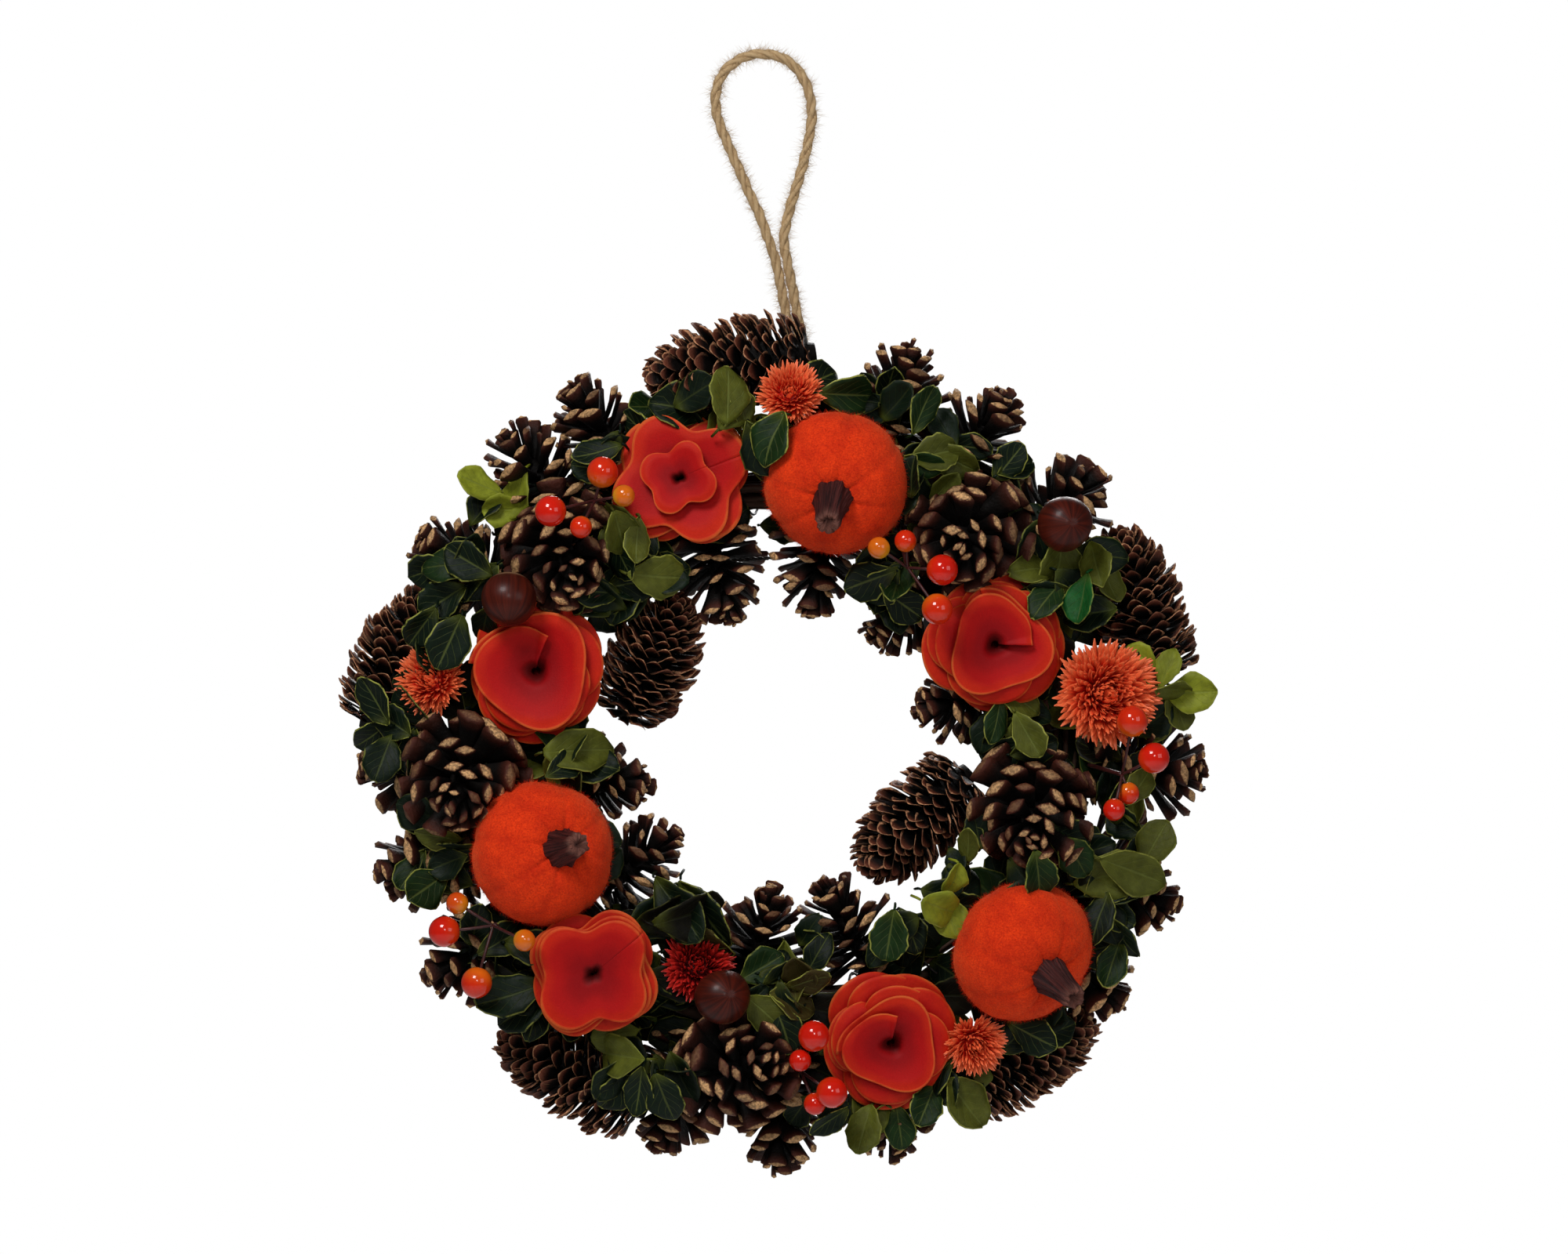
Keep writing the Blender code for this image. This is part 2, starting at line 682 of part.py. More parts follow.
def strawflowers(bract, group):
    """Dried strawflowers: a dome of stiff bracts over a flat foot."""
    pieces = []
    for node, (clock, out, radius, depth, towards, lean) in STRAWFLOWERS.items():
        top = STRAW_DOME * radius
        profile = [
            (0, top),
            (radius * 0.55, top * 0.9),
            (radius * 0.9, top * 0.55),
            (radius, top * 0.25),
            (radius * 0.6, 0),
            (0, 0),
        ]
        matrix = frame_at(on_clock(clock, out, depth), leaning(towards, lean))
        mesh = lobed(turned(profile, 14), 7, 0.06)
        pieces.append(Piece(add(node, mesh, matrix, bract, group), node, FLOWER))
    return pieces


def chestnuts(shell, group):
    """Glossy chestnuts with a small point."""
    long, wide = CHESTNUT
    steps = [math.radians(a) for a in (30, 60, 90, 120, 150)]
    profile = [(0, long / 2 + 0.8 * MM)]
    profile += [(wide / 2 * math.sin(a), long / 2 * math.cos(a)) for a in steps]
    profile += [(0, -long / 2)]
    pieces = []
    for node, (clock, out, depth, tip, lean) in CHESTNUTS.items():
        matrix = frame_at(on_clock(clock, out, depth), leaning(tip, lean))
        mesh = turned(profile, 10)
        pieces.append(Piece(add(node, mesh, matrix, shell, group), node, HARD))
    return pieces


def leaf_sprays(leaf, group):
    """Sprays of preserved leaves, as shallow lobed rosettes."""
    pieces = []
    for node, (clock, out, radius, depth, turn, towards, lean) in LEAF_SPRAYS.items():
        profile = [
            (0, LEAF_THICK),
            (radius * 0.5, LEAF_THICK * 0.9),
            (radius, LEAF_THICK * 0.75),
            (radius, LEAF_THICK * 0.45),
            (radius * 0.5, 0),
            (0, 0),
        ]
        matrix = frame_at(on_clock(clock, out, depth), leaning(towards, lean), turn)
        mesh = lobed(turned(profile, 2 * LEAF_LOBES), LEAF_LOBES, 0.3)
        pieces.append(Piece(add(node, mesh, matrix, leaf, group), node, LEAF))
    return pieces


def berry_picks(skin, wire, group, helpers):
    """Picks of four moulded berries on wires that meet on one stem."""
    pieces, joins = [], []
    for node, (junction, root, berries) in BERRY_PICKS.items():
        middle = on_clock(*junction)
        bottom = on_clock(*root, RING_FRONT + GLUE)
        stem = rod_between(node, bottom, middle, WIRE / 2, skin, group)
        twist = ball_mesh(TWIST_RADIUS, 5, 7)
        parts = [add(f"{node}_twist", twist, Matrix.Translation(middle), wire, helpers)]
        for number, (clock, out, depth, size) in enumerate(berries):
            place = on_clock(clock, out, depth)
            ball = ball_mesh(size / 2, 5, 8)
            facing = frame_at(place, (place - middle).normalized(), 11)
            name = f"{node}_berry_{number + 1}"
            parts.append(add(name, ball, facing, skin, helpers))
            name = f"{node}_wire_{number + 1}"
            parts.append(rod_between(name, middle, place, WIRE / 2, wire, helpers))
        pieces += [Piece(obj, node, HARD) for obj in [stem, *parts]]
        joins.append((stem, parts))
    return pieces, joins


def keep_clear_for_twine():
    """The space that the tie and the loop need, at rest and as they fold and sway."""
    up = heading(TIE_CLOCK)
    back = -FORWARD
    outside = TIE_RADIUS / math.cos(math.pi / 24) + TIE_THICK + GAP
    half = TIE_WIDTH / 2 + GAP
    sleeve = [
        TIE_PLACE + side * half * TIE_AXIS + outside * (math.cos(a) * up + math.sin(a) * back)
        for side in (-1, 1)
        for a in np.linspace(0, 2 * math.pi, 16, endpoint=False)
    ]
    leg = heading(-LEG_LEAN)
    reach = 55 * MM
    front = TWINE / 2 + 2 * GAP
    depth = (FOLD_ROOM + front) / 2
    middle = KNOT_PLACE + reach / 2 * leg + (depth - front) * back
    half_sizes = (LEG_SPACING / 2 + TWINE / 2 + SWAY_ROOM, depth, reach / 2 + KNOT_RADIUS + GAP)
    legs = box_points(middle, heading(90 - LEG_LEAN), back, leg, half_sizes)
    return [Obstacle(sleeve), Obstacle(legs)]


def stand_on(pivot_name, place, objects, group):
    """Parents objects to an empty on their joint's axis, without moving them."""
    pivot = bpy.data.objects.new(pivot_name, None)
    pivot.location = place
    group.objects.link(pivot)
    bpy.context.view_layer.update()
    for obj in objects:
        world = obj.matrix_world.copy()
        obj.parent = pivot
        obj.matrix_parent_inverse = pivot.matrix_world.inverted()
        obj.matrix_world = world
    return pivot


def main():
    for obj in list(bpy.data.objects):
        bpy.data.objects.remove(obj)
    group = fresh_collection("harvest_door_wreath")
    helpers = fresh_collection("cutters")
    twigs = material("twigs", (0.16, 0.09, 0.05), 0.85)
    jute = material("jute", (0.55, 0.38, 0.20), 0.9)
    bark = material("cone_bark", (0.10, 0.04, 0.025), 0.7)
    felt = material("orange_felt", (0.80, 0.10, 0.01), 0.95)
    wood = material("stem_wood", (0.10, 0.02, 0.015), 0.6)
    shaving = material("red_shaving", (0.62, 0.03, 0.02), 0.6)
    bract = material("strawflower_bract", (0.72, 0.09, 0.03), 0.6)
    shell = material("chestnut_shell", (0.07, 0.015, 0.01), 0.3)
    leaf = material("preserved_leaf", (0.05, 0.09, 0.015), 0.6)
    skin = material("berry_skin", (0.70, 0.04, 0.01), 0.15)
    wire = material("binding_wire", (0.10, 0.05, 0.03), 0.5)

    ring = ring_base(twigs, group)
    loop = twine_loop(jute, group)
    tie = twine_tie(jute, group, helpers)
    picks, pick_joins = berry_picks(skin, wire, group, helpers)
    cones, cone_joins = cone_groups(bark, wire, group, helpers)
    pieces = [
        *pumpkins(felt, wood, group),
        *chestnuts(shell, group),
        *picks,
        *roses(shaving, group),
        *strawflowers(bract, group),
        *front_cones(bark, group),
        *long_cones(bark, group),
        *cones,
        *leaf_sprays(leaf, group),
    ]
    seat_apart(pieces, [*ring_blocks(), *keep_clear_for_twine()])
    for obj, parts in [*pick_joins, *cone_joins]:
        unite(obj, parts)
    on_wreath = [ring] + [p.obj for p in pieces if p.obj.name in group.objects]
    stand_on("fold_axis", TIE_PLACE, on_wreath, group)
    stand_on("sway_axis", KNOT_PLACE, [tie], group)
    loop.name = "twine_loop"


main()
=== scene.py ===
import logging
import math
from dataclasses import dataclass, field
from enum import Enum
from typing import Any, Callable, Sequence

import bpy
import numpy as np
from mathutils import Matrix, Vector


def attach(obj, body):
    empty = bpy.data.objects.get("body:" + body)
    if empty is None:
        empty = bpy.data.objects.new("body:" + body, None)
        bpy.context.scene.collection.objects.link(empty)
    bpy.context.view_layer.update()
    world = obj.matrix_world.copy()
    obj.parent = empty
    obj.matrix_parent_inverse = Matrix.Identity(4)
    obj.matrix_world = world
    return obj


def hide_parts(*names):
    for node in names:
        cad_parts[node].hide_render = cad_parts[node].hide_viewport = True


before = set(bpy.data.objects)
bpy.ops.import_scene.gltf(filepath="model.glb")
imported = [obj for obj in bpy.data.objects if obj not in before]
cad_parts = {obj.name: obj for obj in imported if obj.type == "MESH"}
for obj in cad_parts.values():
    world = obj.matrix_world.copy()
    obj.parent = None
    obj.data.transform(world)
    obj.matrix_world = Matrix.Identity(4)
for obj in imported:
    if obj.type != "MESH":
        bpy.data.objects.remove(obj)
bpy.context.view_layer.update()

log = logging.getLogger("wreath")

# Layout: millimetres in the tables, metres in the meshes.

MM = 0.001
RING_CENTRE = Vector((8.358, 0.0, -268.541))
RING_RADIUS = 106.0
RING_THICK = 30.0
GLUE = 0.5
RING_OUT = RING_THICK / 2 + GLUE
FORWARD = Vector((0.0, -1.0, 0.0))
KNOT = Vector((20.6, 0.0, -141.4))
TIE_CLOCK = 5.5
WREATH, TIE, LOOP = "wreath", "tie", "hanging_loop"
GOLDEN_ANGLE = math.radians(137.508)
PETAL_THICKNESS = 0.00055
LEAF_THICKNESS = 0.0004
FLOAT_STEP = 1e-9
Rgb = tuple[int, int, int]
Knots = tuple[tuple[float, float], ...]


def heading(clock: float) -> Vector:
    """The direction of a clock angle in degrees, seen from the front."""
    angle = math.radians(clock)
    return Vector((math.sin(angle), 0.0, math.cos(angle)))


def on_clock(clock: float, place: float, depth: float) -> Vector:
    """The point at a clock angle, so far outside the ring's middle line and so far in front of it."""
    return RING_CENTRE + (RING_RADIUS + place) * heading(clock) + depth * FORWARD


def leaning(towards: float, lean: float) -> Vector:
    """The forward direction, leaned by some degrees towards a clock angle."""
    angle = math.radians(lean)
    return math.cos(angle) * FORWARD + math.sin(angle) * heading(towards)


def pointing(clock: float, lean: float) -> Vector:
    """A direction in the wreath's plane, lifted forward by some degrees."""
    angle = math.radians(lean)
    return math.cos(angle) * heading(clock) + math.sin(angle) * FORWARD


def frame_at(place: Vector, axis: Vector, turn: float = 0.0) -> Matrix:
    """The matrix in metres that stands a piece made in millimetres on place, its Z along axis.

    Args:
        place: where the piece's own origin goes, in millimetres.
        axis: the direction that the piece's Z takes.
        turn: degrees turned about that axis first.

    Returns:
        The piece's matrix, with the change from millimetres to metres.
    """
    spin = Matrix.Rotation(math.radians(turn), 4, "Z")
    aim = axis.to_track_quat("Z", "Y").to_matrix().to_4x4()
    return Matrix.Scale(MM, 4) @ Matrix.Translation(place) @ aim @ spin


def linear(colour: Rgb) -> tuple[float, float, float, float]:
    """An 8-bit display colour as the linear colour that the shaders take."""
    parts = [c / 255.0 for c in colour]
    return (*(p / 12.92 if p <= 0.04045 else ((p + 0.055) / 1.055) ** 2.4 for p in parts), 1.0)


def shaded(colour: Rgb, share: float) -> tuple[float, float, float, float]:
    """A share of an 8-bit display colour, as the linear colour that the shaders take."""
    return linear(tuple(int(c * share) for c in colour))


def round_grid(radius: np.ndarray, angle: np.ndarray, height: Any) -> np.ndarray:
    """A grid of x, y and z from radii, angles and heights that broadcast together."""
    x, y = radius * np.cos(angle), radius * np.sin(angle)
    return np.stack([x, y, height * np.ones_like(x)], axis=2)


def smooth_step(low: float, high: float, x: np.ndarray) -> np.ndarray:
    """0 below low, 1 above high, and smooth between."""
    t = np.clip((x - low) / (high - low), 0.0, 1.0)
    return t * t * (3.0 - 2.0 * t)


def smooth_through(points: Sequence[Vector], count: int) -> np.ndarray:
    """Evenly spaced points on a smooth curve through some points.

    Args:
        points: the points that the curve passes.
        count: how many points to return.

    Returns:
        An array of count rows of x, y and z.
    """
    p = np.array([tuple(v) for v in points], dtype=float)
    p = np.vstack([2 * p[0] - p[1], p, 2 * p[-1] - p[-2]])
    fine = []
    for i in range(1, len(p) - 2):
        t = np.linspace(0.0, 1.0, 24, endpoint=False)[:, None]
        fine.append(0.5 * (2 * p[i] + (p[i + 1] - p[i - 1]) * t
                           + (2 * p[i - 1] - 5 * p[i] + 4 * p[i + 1] - p[i + 2]) * t ** 2
                           + (3 * p[i] - p[i - 1] - 3 * p[i + 1] + p[i + 2]) * t ** 3))
    fine = np.vstack([*fine, p[-2][None, :]])
    gone = np.concatenate([[0.0], np.cumsum(np.linalg.norm(np.diff(fine, axis=0), axis=1))])
    even = np.linspace(0.0, gone[-1], count)
    return np.stack([np.interp(even, gone, fine[:, k]) for k in range(3)], axis=1)


# Meshes

class Skin:
    """Points, faces and the values on the points of a piece that is being made."""

    def __init__(self) -> None:
        """Starts empty."""
        self.points: list[np.ndarray] = []
        self.faces: list[tuple[int, ...]] = []
        self.values: dict[str, list[np.ndarray]] = {}
        self.count = 0

    def _add(self, points: np.ndarray, values: dict[str, np.ndarray]) -> None:
        """Adds points, with a value of each name for each of them."""
        self.points.append(points)
        for name in {*values, *self.values}:
            rows = self.values.setdefault(name, [])
            if name in values:
                block = np.array(values[name], dtype=float).reshape(len(points), -1)
            else:
                block = np.zeros((len(points), rows[0].shape[1]))
            if not rows and self.count:
                rows.append(np.zeros((self.count, block.shape[1])))
            rows.append(block)
        self.count += len(points)

    def sheet(self, grid: np.ndarray, wrap: bool = False, caps: bool = False, **values: Any) -> None:
        """Adds a grid of points as a sheet, or as a tube if it wraps.

        Args:
            grid: points by row, column and coordinate.
            wrap: joins the last column to the first, which runs anticlockwise seen from the last row's side.
            caps: closes both ends of a tube.
            values: numbers for each point, by the names that materials read.
        """
        rows, cols = grid.shape[:2]
        index = self.count + np.arange(rows * cols).reshape(rows, cols)
        spread = {n: np.broadcast_to(np.asarray(v, dtype=float), (rows, cols, *np.shape(v)[2:]))
                  for n, v in values.items()}
        self._add(grid.reshape(-1, 3), {n: v.reshape(rows * cols, -1) for n, v in spread.items()})
        across = range(cols if wrap else cols - 1)
        for r in range(rows - 1):
            for c in across:
                d = (c + 1) % cols
                self.faces.append((index[r, c], index[r, d], index[r + 1, d], index[r + 1, c]))
        if not caps:
            return
        for r, order in ((0, -1), (rows - 1, 1)):
            middle = self.count
            self._add(grid[r].mean(axis=0)[None, :], {n: v[r, :1].reshape(1, -1) for n, v in spread.items()})
            for c in range(cols):
                pair = (index[r, c], index[r, (c + 1) % cols])[::order]
                self.faces.append((*pair, middle))

    def tube(self, path: np.ndarray, radius: Any, sides: int = 8, caps: bool = True, twist: float = 0.0,
             ridge: Callable[[np.ndarray], np.ndarray] | None = None, **values: Any) -> None:
        """Adds a tube along a path.

        Args:
            path: points along the middle.
            radius: one radius, or one for each point of the path.
            sides: how many points go round.
            caps: closes the ends.
            twist: turns from end to end, in radians.
            ridge: gives a factor on the radius for each angle round the tube.
            values: numbers for each point.
        """
        count = len(path)
        along = np.gradient(path, axis=0)
        along /= np.linalg.norm(along, axis=1)[:, None]
        side = np.cross(along[0], (0.31, 0.77, 0.55))
        angles = np.arange(sides) * 2 * math.pi / sides
        grid = np.empty((count, sides, 3))
        radii = np.broadcast_to(np.asarray(radius, dtype=float), (count,))
        factor = ridge(angles) if ridge else np.ones(sides)
        for i in range(count):
            side = side - along[i] * side.dot(along[i])
            side /= np.linalg.norm(side)
            up = np.cross(along[i], side)
            turned = angles + twist * i / max(count - 1, 1)
            grid[i] = path[i] + radii[i] * factor[:, None] * (np.cos(turned)[:, None] * side
                                                             + np.sin(turned)[:, None] * up)
        steps = np.concatenate([[0.0], np.cumsum(np.linalg.norm(np.diff(path, axis=0), axis=1))])
        flow = np.empty((count, sides, 3))
        flow[:, :, 0] = np.cos(angles)[None, :]
        flow[:, :, 1] = np.sin(angles)[None, :]
        flow[:, :, 2] = steps[:, None]
        self.sheet(grid, wrap=True, caps=caps, flow=flow, **values)

    def turned(self, profile: Sequence[tuple[float, float]], sides: int, spread: Any = None,
               **values: Any) -> None:
        """Adds a turned closed shape.

        Args:
            profile: (radius, height) from the foot up.
            sides: how many points go round.
            spread: a function of angle and share of the way up that gives a factor on the radius.
            values: numbers for each point.
        """
        p = np.array(profile, dtype=float)
        angles = np.arange(sides) * 2 * math.pi / sides
        share = np.linspace(0.0, 1.0, len(p))[:, None]
        radius = p[:, :1] * (spread(angles[None, :], share) if spread else 1.0) * np.ones((1, sides))
        self.sheet(round_grid(radius, angles, p[:, 1:]), wrap=True, caps=True,
                   flow=round_grid(np.ones_like(radius), angles, share), **values)

    def moved(self, start: int, matrix: Matrix) -> None:
        """Moves the blocks of points added since block number start by a matrix."""
        m = np.array(matrix)
        for i in range(start, len(self.points)):
            self.points[i] = self.points[i] @ m[:3, :3].T + m[:3, 3]

    def mesh(self, name: str) -> bpy.types.Mesh:
        """The points and faces as a smooth mesh with its values as attributes."""
        mesh = bpy.data.meshes.new(name)
        mesh.from_pydata(np.vstack(self.points).tolist(), [], [tuple(map(int, f)) for f in self.faces])
        kinds = {1: ("FLOAT", "value"), 3: ("FLOAT_VECTOR", "vector"), 4: ("FLOAT_COLOR", "color")}
        for key, blocks in self.values.items():
            block = np.vstack(blocks).astype(np.float32)
            kind, field_name = kinds[block.shape[1]]
            layer = mesh.attributes.new(key, kind, "POINT")
            layer.data.foreach_set(field_name, block.ravel())
        mesh.polygons.foreach_set("use_smooth", [True] * len(mesh.polygons))
        mesh.update()
        return mesh


def lay(name: str, mesh: bpy.types.Mesh, matrix: Matrix | None = None,
        finishes: Sequence["Finish"] = ()) -> bpy.types.Object:
    """Puts a mesh in the scene, its place in the mesh and its object at the origin."""
    if matrix is not None:
        mesh.transform(matrix)
    for finish in finishes:
        mesh.materials.append(finish.material())
    thing = bpy.data.objects.new(name, mesh)
    bpy.context.scene.collection.objects.link(thing)
    return thing


def enlist(thing: bpy.types.Object, body: str, slot: str, *nodes: str) -> bpy.types.Object:
    """Says which body a piece rides on and which CAD nodes it stands for."""
    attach(thing, body)
    if nodes:
        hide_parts(*nodes)
    log.info("%s: %d faces on %s", thing.name, len(thing.data.polygons), body)
    return thing


# Node trees

class Graph:
    """A node tree that is being wired up."""

    def __init__(self, tree: bpy.types.NodeTree) -> None:
        """Starts on a tree."""
        self.tree = tree

    @classmethod
    def group(cls, name: str, kind: str, takes: Sequence[tuple[str, str, Any]],
              gives: Sequence[tuple[str, str]]) -> "Graph":
        """A new group tree.

        Args:
            name: the tree's name.
            kind: ShaderNodeTree or GeometryNodeTree.
            takes: (name, kind of socket, default) of each input.
            gives: (name, kind of socket) of each output.

        Returns:
            The graph, with an input and an output node in it.
        """
        tree = bpy.data.node_groups.new(name, kind)
        for label, socket, default in takes:
            item = tree.interface.new_socket(label, in_out="INPUT", socket_type=f"NodeSocket{socket}")
            if default is not None:
                item.default_value = default
        for label, socket in gives:
            tree.interface.new_socket(label, in_out="OUTPUT", socket_type=f"NodeSocket{socket}")
        graph = cls(tree)
        graph.source = tree.nodes.new("NodeGroupInput")
        graph.sink = tree.nodes.new("NodeGroupOutput")
        return graph

    def feed(self, socket: Any, value: Any) -> None:
        """Links or sets one input socket."""
        if isinstance(value, bpy.types.Node):
            value = value.outputs[0]
        if isinstance(value, bpy.types.NodeSocket):
            self.tree.links.new(value, socket)
        elif value is not None:
            socket.default_value = value

    def add(self, kind: str, inputs: dict[Any, Any] | None = None, **settings: Any) -> Any:
        """Adds a node, sets its properties and feeds its inputs."""
        node = self.tree.nodes.new(kind)
        for key, value in settings.items():
            setattr(node, key, value)
        for key, value in (inputs or {}).items():
            self.feed(node.inputs[key], value)
        return node

    def math(self, operation: str, a: Any, b: Any = None, c: Any = None, clamp: bool = False) -> Any:
        """The output of a Math node."""
        return self.add("ShaderNodeMath", {0: a, 1: b, 2: c}, operation=operation, use_clamp=clamp).outputs[0]

    def span(self, value: Any, low: float, high: float, to_low: float = 0.0, to_high: float = 1.0) -> Any:
        """A value moved smoothly from one span to another."""
        node = self.add("ShaderNodeMapRange", {0: value, 1: low, 2: high, 3: to_low, 4: to_high},
                        interpolation_type="SMOOTHSTEP")
        return node.outputs[0]

    def mix(self, share: Any, a: Any, b: Any, blend: str = "MIX") -> Any:
        """The mix of two colours."""
        node = self.add("ShaderNodeMix", data_type="RGBA", blend_type=blend)
        self.feed(node.inputs[0], share)
        self.feed(node.inputs[6], a)
        self.feed(node.inputs[7], b)
        return node.outputs[2]

    def random(self, low: float, high: float, seed: Any) -> Any:
        """A random number for each element."""
        node = self.add("FunctionNodeRandomValue", data_type="FLOAT")
        self.feed(node.inputs[2], low)
        self.feed(node.inputs[3], high)
        self.feed(node.inputs["Seed"], seed)
        return node.outputs[1]

    def curve(self, share: Any, knots: Knots) -> Any:
        """A value that follows a smooth curve through (share, value) knots."""
        low = min(v for _, v in knots)
        reach = (max(v for _, v in knots) - low) or 1.0
        node = self.add("ShaderNodeFloatCurve", {"Value": share})
        line = node.mapping.curves[0]
        while len(line.points) > 2:
            line.points.remove(line.points[1])
        line.points[0].location = (knots[0][0], (knots[0][1] - low) / reach)
        line.points[1].location = (knots[-1][0], (knots[-1][1] - low) / reach)
        for x, v in knots[1:-1]:
            line.points.new(x, (v - low) / reach)
        node.mapping.update()
        return self.math("MULTIPLY_ADD", node.outputs[0], reach, low)

    def read(self, name: str, output: str = "Fac") -> Any:
        """An attribute of the mesh, in a material."""
        return self.add("ShaderNodeAttribute", attribute_name=name).outputs[output]


def masked_noise(g: Graph, place: Any, scale: Any, detail: Any, rough: float) -> bpy.types.NodeTree:
    """Ends a group with a noise as its height, and what of it lies from Low to High as its mask."""
    noise = g.add("ShaderNodeTexNoise", {"Vector": place, "Scale": scale, "Detail": detail,
                                         "Roughness": rough})
    mask = g.add("ShaderNodeMapRange", {0: noise.outputs[0], 1: g.source.outputs["Low"],
                                        2: g.source.outputs["High"]}, interpolation_type="SMOOTHSTEP")
    g.feed(g.sink.inputs["Mask"], mask)
    g.feed(g.sink.inputs["Height"], noise.outputs[0])
    return g.tree


def mottle_group() -> bpy.types.NodeTree:
    """Cloudy unevenness in the piece's own coordinates, as a mask and a height."""
    if "Mottle" in bpy.data.node_groups:
        return bpy.data.node_groups["Mottle"]
    g = Graph.group("Mottle", "ShaderNodeTree",
                    [("Scale", "Float", 200.0), ("Detail", "Float", 5.0),
                     ("Low", "Float", 0.35), ("High", "Float", 0.65)],
                    [("Mask", "Float"), ("Height", "Float")])
    place = g.add("ShaderNodeTexCoord").outputs["Object"]
    return masked_noise(g, place, g.source.outputs["Scale"], g.source.outputs["Detail"], 0.62)


def fibre_group() -> bpy.types.NodeTree:
    """Long fibres in a piece's own flow coordinates, as a mask and a height."""
    if "Fibres" in bpy.data.node_groups:
        return bpy.data.node_groups["Fibres"]
    g = Graph.group("Fibres", "ShaderNodeTree",
                    [("Flow", "Vector", None), ("Round", "Float", 6.0),
                     ("Along", "Float", 1.0), ("Low", "Float", 0.3),
                     ("High", "Float", 0.7)],
                    [("Mask", "Float"), ("Height", "Float")])
    stretch = g.add("ShaderNodeCombineXYZ", {0: g.source.outputs["Round"], 1: g.source.outputs["Round"],
                                             2: g.source.outputs["Along"]})
    scaled = g.add("ShaderNodeVectorMath", {0: g.source.outputs["Flow"], 1: stretch}, operation="MULTIPLY")
    return masked_noise(g, scaled, 1.0, 4.0, 0.6)


# Finishes

@dataclass(frozen=True)
class Finish:
    """A finish: a name and how its material is wired."""

    name: str

    def material(self) -> bpy.types.Material:
        """The material, made the first time that it is asked for."""
        if self.name in bpy.data.materials:
            return bpy.data.materials[self.name]
        made = bpy.data.materials.new(self.name)
        made.use_nodes = True
        g = Graph(made.node_tree)
        self.paint(g, made.node_tree.nodes["Principled BSDF"])
        return made

    def paint(self, g: Graph, skin: Any) -> None:
        """Wires the shader."""
        raise NotImplementedError

    def mottle(self, g: Graph, scale: float, low: float = 0.35, high: float = 0.65,
               detail: float = 5.0) -> Any:
        """A Mottle group node with its values."""
        return self._placed(g, mottle_group(), Scale=scale, Detail=detail, Low=low, High=high)

    def fibres(self, g: Graph, round_: float, along: float, low: float = 0.3, high: float = 0.7) -> Any:
        """A Fibres group node on the mesh's flow attribute."""
        return self._placed(g, fibre_group(), Flow=g.read("flow", "Vector"), Round=round_, Along=along,
                            Low=low, High=high)

    @staticmethod
    def _placed(g: Graph, tree: bpy.types.NodeTree, **values: Any) -> Any:
        """A group node with its values."""
        node = g.add("ShaderNodeGroup", node_tree=tree)
        for key, value in values.items():
            g.feed(node.inputs[key], value)
        return node

    @staticmethod
    def bumped(g: Graph, skin: Any, height: Any, strength: float, distance: float) -> None:
        """Gives the shader a bump from a height."""
        bump = g.add("ShaderNodeBump", {"Height": height, "Strength": strength, "Distance": distance})
        g.feed(skin.inputs["Normal"], bump.outputs[0])


@dataclass(frozen=True)
class ScaleBark(Finish):
    """Cone scales: dark fingers with pale weathered tips or edges, the edges partly a painted highlight, and
    painted shade towards each scale's foot.
    """

    deep: Rgb
    brown: Rgb
    tip: Rgb
    weathered: Rgb
    face: float
    painted_shade_to: float = 0.9
    tip_from: float = 0.45
    rough: float = 0.62

    def paint(self, g: Graph, skin: Any) -> None:
        """Wires the shader."""
        fine = self.mottle(g, 900.0)
        broad = self.mottle(g, 160.0, 0.4, 0.6)
        tone, reach = g.read("tone"), g.read("reach")
        body = g.mix(broad.outputs["Mask"], linear(self.deep), linear(self.brown))
        body = g.mix(g.math("MULTIPLY", tone, 0.55), body, shaded(self.brown, 0.45))
        body = g.mix(g.math("MULTIPLY", g.span(reach, 0.5, 0.95), self.face), body, linear(self.weathered))
        # Painted shade: each scale darkens towards its foot, deep among the other scales, to a near-black
        # share of the deep colour.
        body = g.mix(g.span(reach, self.painted_shade_to, self.painted_shade_to - 0.45), body, shaded(self.deep, 0.3))
        ragged = g.math("ADD", g.read("tip"), g.math("MULTIPLY_ADD", fine.outputs["Height"], 0.5, -0.25))
        pale = g.span(ragged, self.tip_from, self.tip_from + 0.3)
        pale = g.math("MULTIPLY", pale, g.math("MULTIPLY_ADD", g.span(tone, 0.08, 0.4), 0.75, 0.25))
        weather = g.mix(fine.outputs["Mask"], shaded(self.tip, 0.62), linear(self.tip))
        weather = g.mix(g.math("MULTIPLY", g.math("SUBTRACT", 1.0, tone), 0.6), weather,
                        shaded(self.tip, 0.42))
        g.feed(skin.inputs["Base Color"], g.mix(pale, body, weather))
        skin.inputs["Roughness"].default_value = self.rough
        skin.inputs["Specular IOR Level"].default_value = 0.25
        self.bumped(g, skin, fine.outputs["Height"], 0.7, 0.0008)


@dataclass(frozen=True)
class TwigBark(Finish):
    """Dark bark of vine and twig."""

    dark: Rgb
    light: Rgb

    def paint(self, g: Graph, skin: Any) -> None:
        """Wires the shader."""
        grain = self.fibres(g, 3.0, 350.0, 0.35, 0.7)
        g.feed(skin.inputs["Base Color"], g.mix(grain.outputs["Mask"], linear(self.dark), linear(self.light)))
        skin.inputs["Roughness"].default_value = 0.8
        self.bumped(g, skin, grain.outputs["Height"], 0.7, 0.0008)


